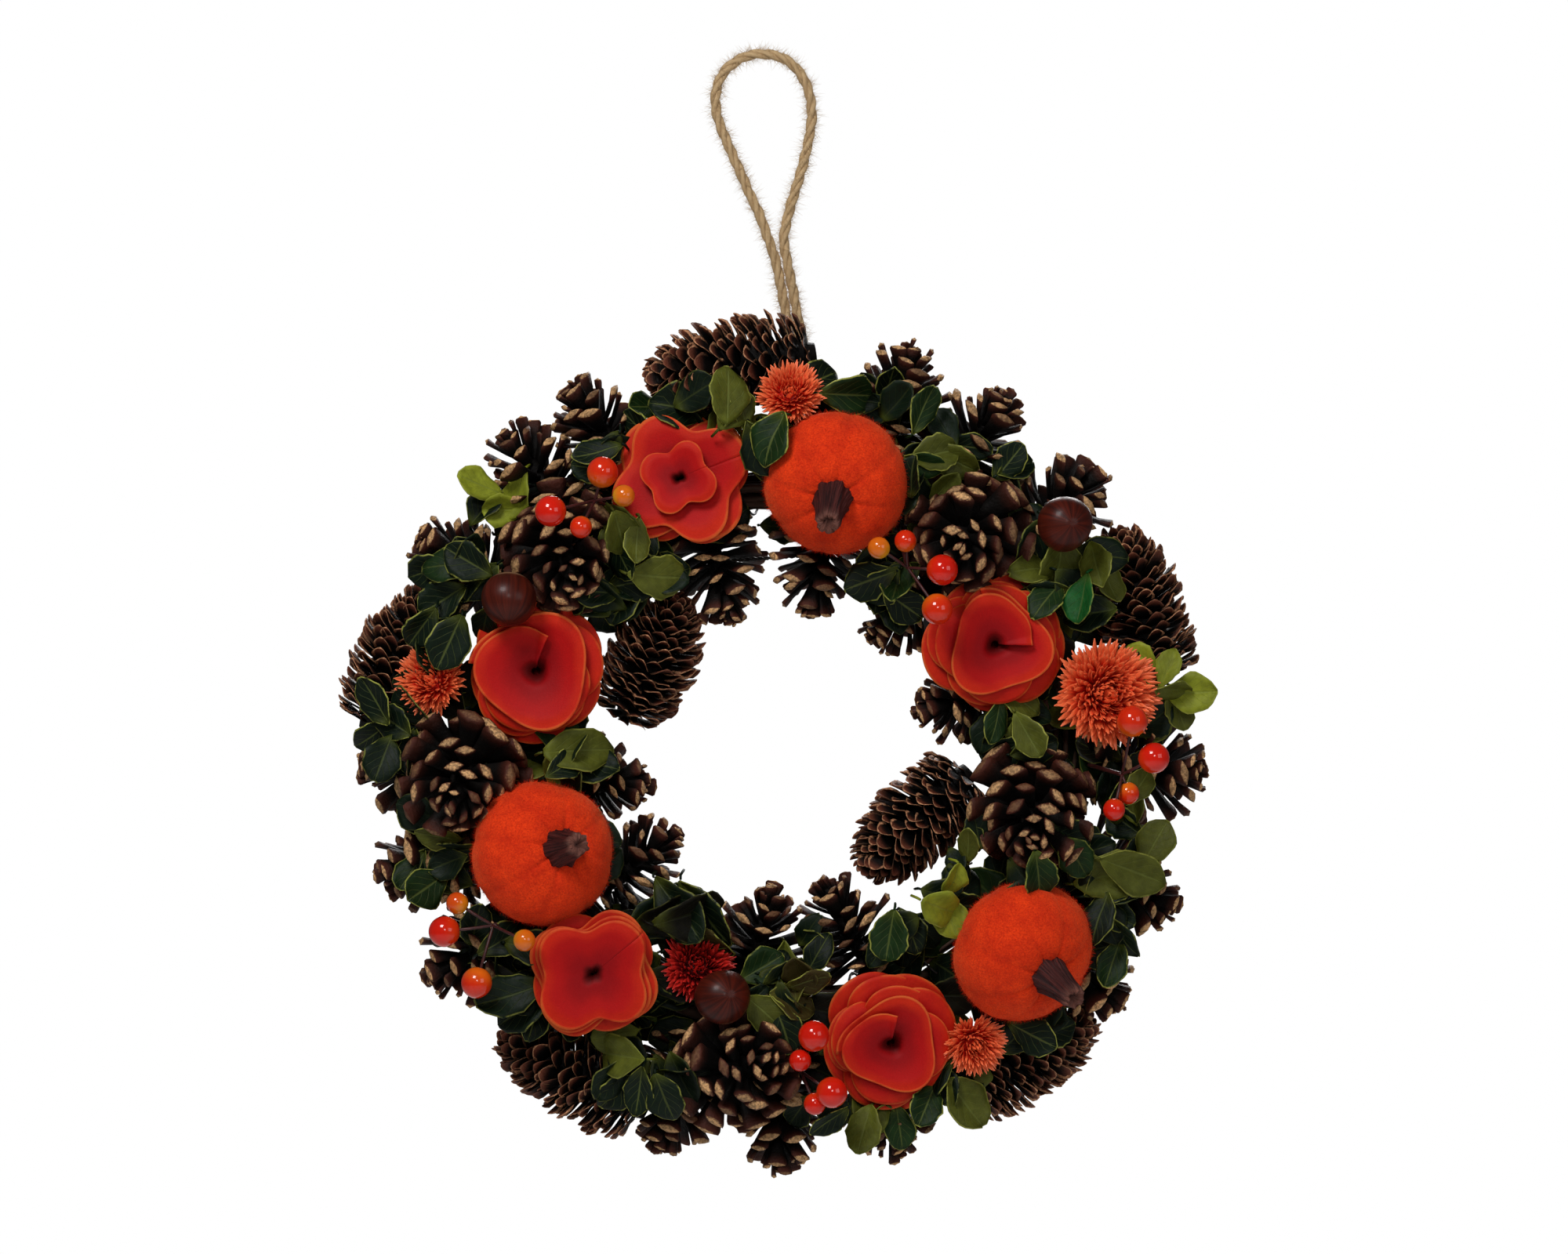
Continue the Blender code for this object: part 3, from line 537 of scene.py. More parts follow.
@dataclass(frozen=True)
class PreservedLeaf(Finish):
    """A glycerined leaf: tinted blade, faint veins and a pale margin that is partly its own yellow-green edge
    and partly a painted highlight.
    """

    margin: Rgb
    vein: Rgb

    def paint(self, g: Graph, skin: Any) -> None:
        """Wires the shader."""
        across = g.math("ABSOLUTE", g.read("across"))
        along = g.read("along")
        tint = g.read("tint", "Color")
        cloud = self.mottle(g, 260.0, 0.3, 0.7)
        blade = g.mix(g.math("MULTIPLY", cloud.outputs["Mask"], 0.5), tint, (0.35, 0.35, 0.3, 1.0),
                      "MULTIPLY")
        rib = g.span(across, 0.09, 0.02)
        wave = g.math("FRACT", g.math("MULTIPLY", g.math("MULTIPLY_ADD", across, -0.42, along), 5.5))
        side = g.span(g.math("ABSOLUTE", g.math("SUBTRACT", wave, 0.5)), 0.07, 0.015)
        side = g.math("MULTIPLY", side, g.span(across, 0.86, 0.6))
        veins = g.math("MAXIMUM", rib, g.math("MULTIPLY", side, 0.55), clamp=True)
        pale = g.read("pale")
        veined = g.mix(g.math("MULTIPLY", veins, g.math("MULTIPLY", pale, 0.5)), blade, linear(self.vein))
        # The pale margin: partly the leaf's own yellow-green edge, partly a painted highlight along it.
        margin_and_highlight = g.math("MAXIMUM", g.span(across, 0.91, 0.98), g.span(along, 0.965, 0.985))
        margin_and_highlight = g.math("MULTIPLY", margin_and_highlight, pale)
        margin_and_highlight = g.math("MULTIPLY", margin_and_highlight, g.span(cloud.outputs["Height"], 0.36, 0.56))
        g.feed(skin.inputs["Base Color"], g.mix(margin_and_highlight, veined, linear(self.margin)))
        skin.inputs["Roughness"].default_value = 0.5
        skin.inputs["Specular IOR Level"].default_value = 0.14
        height = g.math("MULTIPLY_ADD", veins, -0.6, cloud.outputs["Height"])
        self.bumped(g, skin, height, 0.45, 0.0008)


@dataclass(frozen=True)
class DyedShaving(Finish):
    """Curled wood shaving dyed red, with fine grain; painted shade makes it deep red in the folds and near
    black in the eye, orange towards the rims, and a painted highlight lines the rims.
    """

    deep: Rgb
    red: Rgb
    rim: Rgb

    def paint(self, g: Graph, skin: Any) -> None:
        """Wires the shader."""
        grain = self.fibres(g, 26.0, 1.6, 0.3, 0.75)
        cloud = self.mottle(g, 60.0, 0.3, 0.7, 3.0)
        rim = g.read("rim")
        lift = g.math("ADD", rim, g.math("MULTIPLY_ADD", cloud.outputs["Height"], 0.5, -0.25))
        # Painted shade: the inner ends of the strips, down in the eye and the folds, go near black.
        body = g.mix(g.span(rim, 0.09, 0.02), linear(self.deep), linear((46, 6, 6)))
        # Painted shade: deep red in the folds, lightening to red and then orange towards the rims.
        body = g.mix(g.span(lift, 0.1, 0.7), body, linear(self.red))
        body = g.mix(g.span(lift, 0.7, 1.2), body, linear(self.rim))
        # Painted highlight: a thin pale line along the rims.
        line = g.math("MULTIPLY", g.span(rim, 0.985, 1.0), g.span(cloud.outputs["Height"], 0.3, 0.62))
        body = g.mix(line, body, linear((222, 100, 44)))
        body = g.mix(g.math("MULTIPLY", grain.outputs["Mask"], 0.16), body, linear((120, 8, 8)))
        g.feed(skin.inputs["Base Color"], body)
        skin.inputs["Roughness"].default_value = 0.6
        skin.inputs["Specular IOR Level"].default_value = 0.15
        self.bumped(g, skin, grain.outputs["Height"], 0.25, 0.0005)


@dataclass(frozen=True)
class Felt(Finish):
    """Needled wool felt: matt and cloudy, with painted shade in its grooves."""

    light: Rgb
    deep: Rgb

    def paint(self, g: Graph, skin: Any) -> None:
        """Wires the shader."""
        cloud = self.mottle(g, 120.0, 0.3, 0.7)
        fine = self.mottle(g, 1500.0, 0.35, 0.65, 8.0)
        body = g.mix(g.math("MULTIPLY", cloud.outputs["Mask"], 0.45), linear(self.light), linear(self.deep))
        body = g.mix(g.math("MULTIPLY", fine.outputs["Mask"], 0.5), body, linear(self.deep))
        # Painted shade in the rib grooves and round the stalk's dimple.
        body = g.mix(g.math("MULTIPLY", g.read("groove"), 0.25), body, linear(self.deep))
        g.feed(skin.inputs["Base Color"], body)
        skin.inputs["Roughness"].default_value = 0.95
        skin.inputs["Sheen Weight"].default_value = 0.35
        skin.inputs["Sheen Roughness"].default_value = 0.5
        skin.inputs["Sheen Tint"].default_value = linear((255, 150, 90))
        skin.inputs["Specular IOR Level"].default_value = 0.15
        height = g.math("ADD", cloud.outputs["Height"], g.math("MULTIPLY", fine.outputs["Height"], 0.4))
        self.bumped(g, skin, height, 0.6, 0.0012)


@dataclass(frozen=True)
class Stalk(Finish):
    """A dry fibrous stalk."""

    dark: Rgb
    light: Rgb

    def paint(self, g: Graph, skin: Any) -> None:
        """Wires the shader."""
        grain = self.fibres(g, 9.0, 1.2, 0.35, 0.7)
        body = g.mix(grain.outputs["Mask"], linear(self.dark), linear(self.light))
        g.feed(skin.inputs["Base Color"], g.mix(g.math("MULTIPLY", g.read("cut"), 0.7), body,
                                                linear((150, 95, 80))))
        skin.inputs["Roughness"].default_value = 0.6
        skin.inputs["Specular IOR Level"].default_value = 0.3
        self.bumped(g, skin, grain.outputs["Height"], 1.0, 0.0016)


@dataclass(frozen=True)
class Bract(Finish):
    """Papery strawflower bracts, paler at their points."""

    core: Rgb
    point: Rgb

    def paint(self, g: Graph, skin: Any) -> None:
        """Wires the shader."""
        shade = g.mix(g.math("MULTIPLY", g.read("tone"), 0.5), linear(self.core), shaded(self.core, 0.75))
        g.feed(skin.inputs["Base Color"], g.mix(g.span(g.read("tip"), 0.35, 1.0), shade, linear(self.point)))
        skin.inputs["Roughness"].default_value = 0.38
        fine = self.mottle(g, 700.0)
        self.bumped(g, skin, fine.outputs["Height"], 0.3, 0.0004)


@dataclass(frozen=True)
class Nutshell(Finish):
    """Polished chestnut shell with faint streaks and a rough pale base."""

    shell: Rgb
    streak: Rgb
    base: Rgb

    def paint(self, g: Graph, skin: Any) -> None:
        """Wires the shader."""
        streaks = self.fibres(g, 4.0, 0.8, 0.3, 0.75)
        foot = g.read("foot")
        body = g.mix(streaks.outputs["Mask"], linear(self.shell), linear(self.streak))
        g.feed(skin.inputs["Base Color"], g.mix(foot, body, linear(self.base)))
        g.feed(skin.inputs["Roughness"], g.math("MULTIPLY_ADD", foot, 0.4, 0.4))
        skin.inputs["Specular IOR Level"].default_value = 0.16
        skin.inputs["Coat Weight"].default_value = 0.08
        skin.inputs["Coat Roughness"].default_value = 0.18
        self.bumped(g, skin, streaks.outputs["Height"], 0.08, 0.0006)


@dataclass(frozen=True)
class Lacquer(Finish):
    """Moulded berries in glossy lacquer, shaded from their tint towards the stalk."""

    def paint(self, g: Graph, skin: Any) -> None:
        """Wires the shader."""
        cloud = self.mottle(g, 180.0, 0.3, 0.75, 2.0)
        g.feed(skin.inputs["Base Color"], g.mix(g.math("MULTIPLY", cloud.outputs["Mask"], 0.25),
                                                g.read("tint", "Color"), linear((170, 12, 10))))
        skin.inputs["Roughness"].default_value = 0.2
        skin.inputs["Specular IOR Level"].default_value = 0.1
        skin.inputs["Coat Weight"].default_value = 0.8
        skin.inputs["Coat Roughness"].default_value = 0.04
        self.bumped(g, skin, cloud.outputs["Height"], 0.04, 0.0006)


@dataclass(frozen=True)
class Jute(Finish):
    """Spun jute, with fibres along the strand."""

    light: Rgb
    dark: Rgb

    def paint(self, g: Graph, skin: Any) -> None:
        """Wires the shader."""
        grain = self.fibres(g, 2.6, 0.55, 0.32, 0.7)
        body = g.mix(grain.outputs["Mask"], linear(self.dark), linear(self.light))
        g.feed(skin.inputs["Base Color"], body)
        skin.inputs["Roughness"].default_value = 0.88
        self.bumped(g, skin, grain.outputs["Height"], 0.8, 0.0005)


@dataclass(frozen=True)
class Wire(Finish):
    """Thin binding wire, painted or bare."""

    colour: Rgb
    metal: float = 0.0

    def paint(self, g: Graph, skin: Any) -> None:
        """Wires the shader."""
        worn = self.mottle(g, 800.0)
        g.feed(skin.inputs["Base Color"], g.mix(worn.outputs["Mask"], linear(self.colour),
                                                shaded(self.colour, 0.6)))
        skin.inputs["Metallic"].default_value = self.metal
        skin.inputs["Roughness"].default_value = 0.5


@dataclass(frozen=True)
class Plaster(Finish):
    """The studio's pale matt floor."""

    def paint(self, g: Graph, skin: Any) -> None:
        """Wires the shader."""
        grain = self.mottle(g, 30.0)
        g.feed(skin.inputs["Base Color"], g.mix(grain.outputs["Mask"], (0.8, 0.8, 0.79, 1.0),
                                                (0.83, 0.83, 0.82, 1.0)))
        skin.inputs["Roughness"].default_value = 0.85
        seen = g.add("ShaderNodeLightPath").outputs["Is Camera Ray"]
        g.feed(skin.inputs["Emission Color"], g.mix(seen, (0.0, 0.0, 0.0, 1.0), (0.8, 0.8, 0.79, 1.0)))
        skin.inputs["Emission Strength"].default_value = 0.9


TWIG_BARK = TwigBark("twig bark", (34, 20, 13), (98, 66, 44))
JUTE = Jute("jute", (250, 190, 112), (150, 82, 32))
PINE_BARK = ScaleBark("pine bark", (24, 10, 6), (66, 27, 16), (240, 186, 128), (96, 42, 26), 0.4,
                      1.0, 0.48)
SPRUCE_BARK = ScaleBark("spruce bark", (24, 10, 7), (84, 36, 23), (226, 160, 116), (126, 66, 44), 0.6,
                        1.0, 0.3)
ORANGE_FELT = Felt("orange felt", (255, 70, 20), (174, 14, 8))
STEM_WOOD = Stalk("stem wood", (36, 12, 13), (88, 38, 34))
RED_SHAVING = DyedShaving("red shaving", (150, 6, 13), (182, 13, 13), (214, 46, 14))
CORAL_BRACT = Bract("coral bract", (240, 44, 24), (255, 122, 72))
# A darker red for the bottom-left strawflower: partly its own deeper colour, partly painted shade where it
# sits in shadow.
CRIMSON_SHADED_BRACT = Bract("crimson bract", (132, 10, 18), (206, 40, 32))
CHESTNUT_SHELL = Nutshell("chestnut shell", (46, 13, 8), (88, 28, 15), (120, 88, 62))
LEAF = PreservedLeaf("preserved leaf", (170, 172, 78), (112, 122, 60))
BERRY_SKIN = Lacquer("berry skin")
BERRY_WIRE = Wire("berry wire", (74, 22, 20))
IRON_WIRE = Wire("binding wire", (60, 56, 52), 0.8)
FLOOR = Plaster("studio floor")


# Geometry node trees

@dataclass(frozen=True)
class Growth:
    """How scales or bracts stand up a stem, as knots of (share of the way up, value)."""

    foot: Knots
    core: Knots
    size: Knots
    tilt: Knots
    wide: float = 1.0


def spiral_tree(name: str, growth: Growth) -> bpy.types.NodeTree:
    """A tree that sets a pattern piece round a stem in the golden spiral.

    Args:
        name: the tree's name.
        growth: how the pieces stand along the stem.

    Returns:
        The tree, with inputs Pattern, Count, Length, Radius, Unruly, Finish and Seed.
    """
    g = Graph.group(name, "GeometryNodeTree",
                    [("Geometry", "Geometry", None), ("Pattern", "Object", None),
                     ("Count", "Int", 60), ("Length", "Float", 45.0),
                     ("Radius", "Float", 20.0), ("Unruly", "Float", 0.12),
                     ("Finish", "Material", None), ("Seed", "Int", 0)],
                    [("Geometry", "Geometry")])
    take = g.source.outputs
    index = g.add("GeometryNodeInputIndex").outputs[0]
    share = g.math("DIVIDE", g.math("ADD", index, 0.5), take["Count"])
    turn = g.math("MULTIPLY", index, GOLDEN_ANGLE)
    reach = g.math("MULTIPLY", g.curve(share, growth.core), take["Radius"])
    rise = g.math("MULTIPLY", g.curve(share, growth.foot), take["Length"])
    place = g.add("ShaderNodeCombineXYZ", {0: g.math("MULTIPLY", g.math("COSINE", turn), reach),
                                           1: g.math("MULTIPLY", g.math("SINE", turn), reach), 2: rise})
    wild = [g.math("MULTIPLY", g.random(-1.0, 1.0, g.math("ADD", take["Seed"], 17 * k)), take["Unruly"])
            for k in range(4)]
    tilt = g.math("ADD", g.math("MULTIPLY", g.curve(share, growth.tilt), -math.pi / 180.0), wild[0])
    aim = g.add("ShaderNodeCombineXYZ", {0: g.math("MULTIPLY", wild[1], 2.0), 1: tilt,
                                         2: g.math("ADD", turn, wild[2])})
    size = g.math("MULTIPLY", g.math("MULTIPLY", g.curve(share, growth.size), take["Radius"]),
                  g.math("ADD", 1.0, wild[3]))
    scale = g.add("ShaderNodeCombineXYZ", {0: size, 1: g.math("MULTIPLY", size, growth.wide), 2: size})
    points = g.add("GeometryNodePoints", {"Count": take["Count"], "Position": place})
    pattern = g.add("GeometryNodeObjectInfo", {"Object": take["Pattern"], "As Instance": True})
    stood = g.add("GeometryNodeInstanceOnPoints", {"Points": points, "Instance": pattern.outputs["Geometry"],
                                                   "Rotation": aim, "Scale": scale})
    toned = g.add("GeometryNodeStoreNamedAttribute", {"Geometry": stood, "Name": "tone"},
                  data_type="FLOAT", domain="INSTANCE")
    g.feed(toned.inputs["Value"], g.random(0.0, 1.0, g.math("ADD", take["Seed"], 91)))
    real = g.add("GeometryNodeRealizeInstances", {"Geometry": toned})
    joined = g.add("GeometryNodeJoinGeometry")
    g.tree.links.new(take["Geometry"], joined.inputs[0])
    g.tree.links.new(real.outputs[0], joined.inputs[0])
    dressed = g.add("GeometryNodeSetMaterial", {"Geometry": joined, "Material": take["Finish"]})
    g.feed(g.sink.inputs[0], dressed)
    return g.tree


def fuzz_tree() -> bpy.types.NodeTree:
    """A tree that stands fine loose fibres on a surface and returns only the fibres."""
    if "Loose fibres" in bpy.data.node_groups:
        return bpy.data.node_groups["Loose fibres"]
    g = Graph.group("Loose fibres", "GeometryNodeTree",
                    [("Geometry", "Geometry", None), ("Density", "Float", 1e6),
                     ("Length", "Float", 0.001), ("Thickness", "Float", 3e-5),
                     ("Unruly", "Float", 1.0), ("Finish", "Material", None),
                     ("Seed", "Int", 0)],
                    [("Geometry", "Geometry")])
    take = g.source.outputs
    spread = g.add("GeometryNodeDistributePointsOnFaces",
                   {"Mesh": take["Geometry"], "Density": take["Density"], "Seed": take["Seed"]})
    wild = g.add("ShaderNodeCombineXYZ", {k: g.random(-1.0, 1.0, g.math("ADD", take["Seed"], 5 + k))
                                          for k in range(3)})
    loose = g.add("ShaderNodeVectorMath", {0: wild}, operation="SCALE")
    g.feed(loose.inputs["Scale"], take["Unruly"])
    way = g.add("ShaderNodeVectorMath", {0: spread.outputs["Normal"], 1: loose}, operation="ADD")
    aim = g.add("FunctionNodeAlignRotationToVector", {"Vector": way}, axis="Z")
    long = g.math("MULTIPLY", take["Length"], g.random(0.35, 1.0, g.math("ADD", take["Seed"], 11)))
    scale = g.add("ShaderNodeCombineXYZ", {0: take["Thickness"], 1: take["Thickness"], 2: long})
    hair = g.add("GeometryNodeMeshCone", {"Vertices": 3, "Radius Top": 0.0, "Radius Bottom": 1.0,
                                          "Depth": 1.0}, fill_type="NGON")
    stood = g.add("GeometryNodeInstanceOnPoints", {"Points": spread.outputs["Points"], "Instance": hair,
                                                   "Rotation": aim, "Scale": scale})
    real = g.add("GeometryNodeRealizeInstances", {"Geometry": stood})
    dressed = g.add("GeometryNodeSetMaterial", {"Geometry": real, "Material": take["Finish"]})
    g.feed(g.sink.inputs[0], dressed)
    return g.tree


def bundle_tree() -> bpy.types.NodeTree:
    """A tree that winds a bundle of tapering twigs round a ring."""
    g = Graph.group("Twig bundle", "GeometryNodeTree",
                    [("Geometry", "Geometry", None), ("Count", "Int", 60),
                     ("Ring radius", "Float", 106.0), ("Bundle radius", "Float", 12.0),
                     ("Twig radius", "Float", 2.0), ("Finish", "Material", None),
                     ("Seed", "Int", 0)],
                    [("Geometry", "Geometry")])
    take = g.source.outputs
    arc = g.add("GeometryNodeCurveArc", {"Resolution": 34, "Radius": take["Ring radius"], "Start Angle": 0.0,
                                         "Sweep Angle": math.radians(150.0)}, mode="RADIUS")
    points = g.add("GeometryNodePoints", {"Count": take["Count"]})
    seed = take["Seed"]
    start = g.add("ShaderNodeCombineXYZ", {2: g.random(0.0, 2 * math.pi, seed)})
    stood = g.add("GeometryNodeInstanceOnPoints", {"Points": points, "Instance": arc, "Rotation": start})
    ways = {"round": (0.0, 2 * math.pi), "far": (0.0, 1.0), "thick": (0.55, 1.25), "roll": (-2.2, 2.2)}
    for k, (name, (low, high)) in enumerate(ways.items()):
        stored = g.add("GeometryNodeStoreNamedAttribute", {"Geometry": stood, "Name": name},
                       data_type="FLOAT", domain="INSTANCE")
        g.feed(stored.inputs["Value"], g.random(low, high, g.math("ADD", seed, 3 + k)))
        stood = stored
    real = g.add("GeometryNodeRealizeInstances", {"Geometry": stood})

    def named(label: str) -> Any:
        """A stored number."""
        node = g.add("GeometryNodeInputNamedAttribute", {"Name": label}, data_type="FLOAT")
        return node.outputs["Attribute"]

    share = g.add("GeometryNodeSplineParameter").outputs["Factor"]
    angle = g.math("MULTIPLY_ADD", named("roll"), share, named("round"))
    far = g.math("MULTIPLY", g.math("SQRT", named("far")), take["Bundle radius"])
    position = g.add("GeometryNodeInputPosition").outputs[0]
    out = g.add("ShaderNodeVectorMath", {0: position}, operation="NORMALIZE")
    noise = g.add("ShaderNodeTexNoise", {"Vector": position, "Scale": 0.05, "Detail": 2.0})
    sway = g.math("MULTIPLY_ADD", noise.outputs[0], 5.0, -2.5)
    outward = g.add("ShaderNodeVectorMath", {0: out}, operation="SCALE")
    g.feed(outward.inputs["Scale"], g.math("MULTIPLY_ADD", g.math("COSINE", angle), far, sway))
    upward = g.add("ShaderNodeCombineXYZ", {2: g.math("MULTIPLY", g.math("SINE", angle), far)})
    shift = g.add("ShaderNodeVectorMath", {0: outward, 1: upward}, operation="ADD")
    moved = g.add("GeometryNodeSetPosition", {"Geometry": real, "Offset": shift})
    taper = g.math("MULTIPLY", g.math("MULTIPLY_ADD", share, -0.6, 1.0),
                   g.math("MULTIPLY", named("thick"), take["Twig radius"]))
    sized = g.add("GeometryNodeSetCurveRadius", {"Curve": moved, "Radius": taper})
    ring = g.add("GeometryNodeCurvePrimitiveCircle", {"Resolution": 7, "Radius": 1.0}, mode="RADIUS")
    solid = g.add("GeometryNodeCurveToMesh", {"Curve": sized, "Profile Curve": ring, "Fill Caps": True})
    if "Scale" in solid.inputs:
        radius = g.add("GeometryNodeInputRadius")
        g.feed(solid.inputs["Scale"], radius)
    dressed = g.add("GeometryNodeSetMaterial", {"Geometry": solid, "Material": take["Finish"]})
    g.feed(g.sink.inputs[0], dressed)
    return g.tree


def grown(carrier: bpy.types.Object, tree: bpy.types.NodeTree, **values: Any) -> bpy.types.Mesh:
    """Runs a tree on an object and returns what it makes as a plain mesh.

    Args:
        carrier: the object that the tree starts from.
        tree: the geometry node tree.
        values: the tree's inputs by name, with _ for a space.

    Returns:
        The new mesh.
    """
    modifier = carrier.modifiers.new("growth", "NODES")
    modifier.node_group = tree
    for item in tree.interface.items_tree:
        key = item.name.replace(" ", "_")
        if item.in_out == "INPUT" and key in values:
            modifier[item.identifier] = values[key]
    graph = bpy.context.evaluated_depsgraph_get()
    graph.update()
    mesh = bpy.data.meshes.new_from_object(carrier.evaluated_get(graph), preserve_all_data_layers=True,
                                           depsgraph=graph)
    carrier.modifiers.remove(modifier)
    return mesh


def scrap(thing: bpy.types.Object) -> None:
    """Removes a helper object."""
    bpy.data.objects.remove(thing, do_unlink=True)


def merged(things: Sequence[bpy.types.Object]) -> bpy.types.Object:
    """Joins several objects into the first."""
    with bpy.context.temp_override(active_object=things[0], object=things[0], selected_objects=list(things),
                                   selected_editable_objects=list(things)):
        bpy.ops.object.join()
    return things[0]


def plied(path: np.ndarray, pitch: float, offset: float, strand: int, strands: int = 3) -> np.ndarray:
    """The path of one strand of a laid cord.

    Args:
        path: the cord's middle line.
        pitch: the length of one turn of the lay.
        offset: the strand's distance from the middle line.
        strand: the strand's number.
        strands: how many strands there are.

    Returns:
        The strand's middle line.
    """
    along = np.gradient(path, axis=0)
    along /= np.linalg.norm(along, axis=1)[:, None]
    steps = np.concatenate([[0.0], np.cumsum(np.linalg.norm(np.diff(path, axis=0), axis=1))])
    side = np.cross(along[0], (0.12, 0.93, 0.35))
    out = np.empty_like(path)
    for i, direction in enumerate(along):
        side = side - direction * side.dot(direction)
        side /= np.linalg.norm(side)
        angle = 2 * math.pi * (steps[i] / pitch + strand / strands)
        out[i] = path[i] + offset * (math.cos(angle) * side + math.sin(angle) * np.cross(direction, side))
    return out


def strand_ridge(angle: np.ndarray) -> np.ndarray:
    """The slight yarns round a strand of twine, as a factor on its radius."""
    return 1 + 0.06 * np.cos(4 * angle)


# Studio

@dataclass
class Studio:
    """Camera, lights and the pale floor."""

    lens: float = 100.0
    sensor: float = 36.0
    distance: float = 1.697
    middle: tuple[float, float] = (0.0084, -0.2214)
    floor_height: float = -0.92

    def build(self) -> None:
        """Builds the studio."""
        data = bpy.data.cameras.new("camera")
        data.lens, data.sensor_width, data.sensor_fit = self.lens, self.sensor, "HORIZONTAL"
        camera = bpy.data.objects.new("camera", data)
        camera.location = (self.middle[0], -self.distance, self.middle[1])
        camera.rotation_euler = (math.pi / 2, 0.0, 0.0)
        bpy.context.scene.collection.objects.link(camera)
        bpy.context.scene.camera = camera
        bpy.context.scene.view_settings.view_transform = "Standard"
        self.light("key", (-0.5, -1.1, 0.8), 0.5, 15.0)
        self.light("fill", (1.0, -1.1, 0.1), 0.7, 3.0)
        self.light("front", (0.1, -1.9, 0.3), 0.3, 4.0)
        self.light("back", (0.3, 1.5, 0.5), 0.9, 22.0)
        self.sky()
        half = np.array([(-4.0, -4.0), (4.0, -4.0), (4.0, 3.0), (-4.0, 3.0)])
        skin = Skin()
        skin.sheet(np.array([[(*half[0], self.floor_height), (*half[1], self.floor_height)],
                             [(*half[3], self.floor_height), (*half[2], self.floor_height)]]))
        lay("floor", skin.mesh("floor"), finishes=[FLOOR])

    @staticmethod
    def light(name: str, place: tuple[float, float, float], size: float, power: float) -> None:
        """Adds a softbox aimed at the wreath."""
        data = bpy.data.lights.new(name, "AREA")
        data.shape, data.size, data.energy = "SQUARE", size, power
        lamp = bpy.data.objects.new(name, data)
        lamp.location = place
        aim = Vector((0.0, 0.0, -0.26)) - lamp.location
        lamp.rotation_euler = aim.to_track_quat("-Z", "Y").to_euler()
        bpy.context.scene.collection.objects.link(lamp)

    @staticmethod
    def sky() -> None:
        """A white surround that lights the wreath only faintly."""
        world = bpy.data.worlds.new("studio")
        world.use_nodes = True
        g = Graph(world.node_tree)
        seen = g.add("ShaderNodeLightPath").outputs["Is Camera Ray"]
        back = world.node_tree.nodes["Background"]
        g.feed(back.inputs["Color"], g.mix(seen, (0.07, 0.07, 0.07, 1.0), (1.0, 1.0, 1.0, 1.0)))
        bpy.context.scene.world = world


# Twine

@dataclass
class HangingLoop:
    """One length of three-strand jute doubled over the hook."""

    radius: float = 1.8
    pitch: float = 19.0
    strand_radius: float = 1.08
    strand_offset: float = 0.98
    fine_points: int = 420
    cord_points: int = 46
    leg_lean: float = 13.0
    leg_spacing: float = 4.1
    knot_radius: float = 4.5
    leg_gap: float = 0.5
    route: tuple[tuple[float, float], ...] = (
        (15.7, -129.0), (13.6, -119.5), (11.5, -110.4), (9.4, -100.0), (7.5, -90.0), (5.6, -80.4),
        (2.7, -71.4), (-1.2, -60.9), (-6.0, -50.4), (-10.5, -39.9), (-15.0, -29.4), (-17.9, -20.4),
        (-17.8, -11.4),
        (-14.0, -3.9), (-7.4, 0.6), (0.0, 2.0), (8.0, 0.2), (14.3, -5.1), (18.0, -12.9), (19.2, -21.9),
        (17.9, -32.4), (15.4, -42.9), (12.2, -53.4), (9.6, -62.4), (8.3, -71.4), (9.9, -80.4), (11.8, -90.0),
        (13.7, -100.0), (15.8, -110.4), (17.9, -119.5), (20.0, -129.0))

    def middle_line(self, count: int) -> np.ndarray:
        """The cord's middle line, from the knot over the hook to the knot."""
        foot = KNOT + (self.knot_radius + self.leg_gap) * heading(-self.leg_lean)
        apart = self.leg_spacing / 2 * heading(90.0 - self.leg_lean)
        points = [foot - apart, *(Vector((x, 0.0, z)) for x, z in self.route), foot + apart]
        return smooth_through(points, count)

    def build(self) -> None:
        line = self.middle_line(self.fine_points)
        skin = Skin()
        for strand in range(3):
            steps = np.arange(len(line))
            path = plied(line, self.pitch, self.strand_offset, strand)
            swell = self.strand_radius * (1 + 0.07 * np.sin(steps * 0.17 + strand * 2.1)
                                          + 0.05 * np.sin(steps * 0.53 + strand))
            skin.tube(path * MM, swell * MM, 9, ridge=strand_ridge, twist=-34.0)
        twine = lay("loop_twine", skin.mesh("loop_twine"), finishes=[JUTE])
        fuzz = lay("loop_fibres", grown(twine, fuzz_tree(), Density=1.5e6, Length=0.0058, Thickness=6.5e-5,
                                        Unruly=2.4, Finish=JUTE.material(), Seed=4))
        enlist(twine, LOOP, "jute", "twine_loop")
        enlist(fuzz, LOOP, "jute")
        path = self.middle_line(self.cord_points) * MM


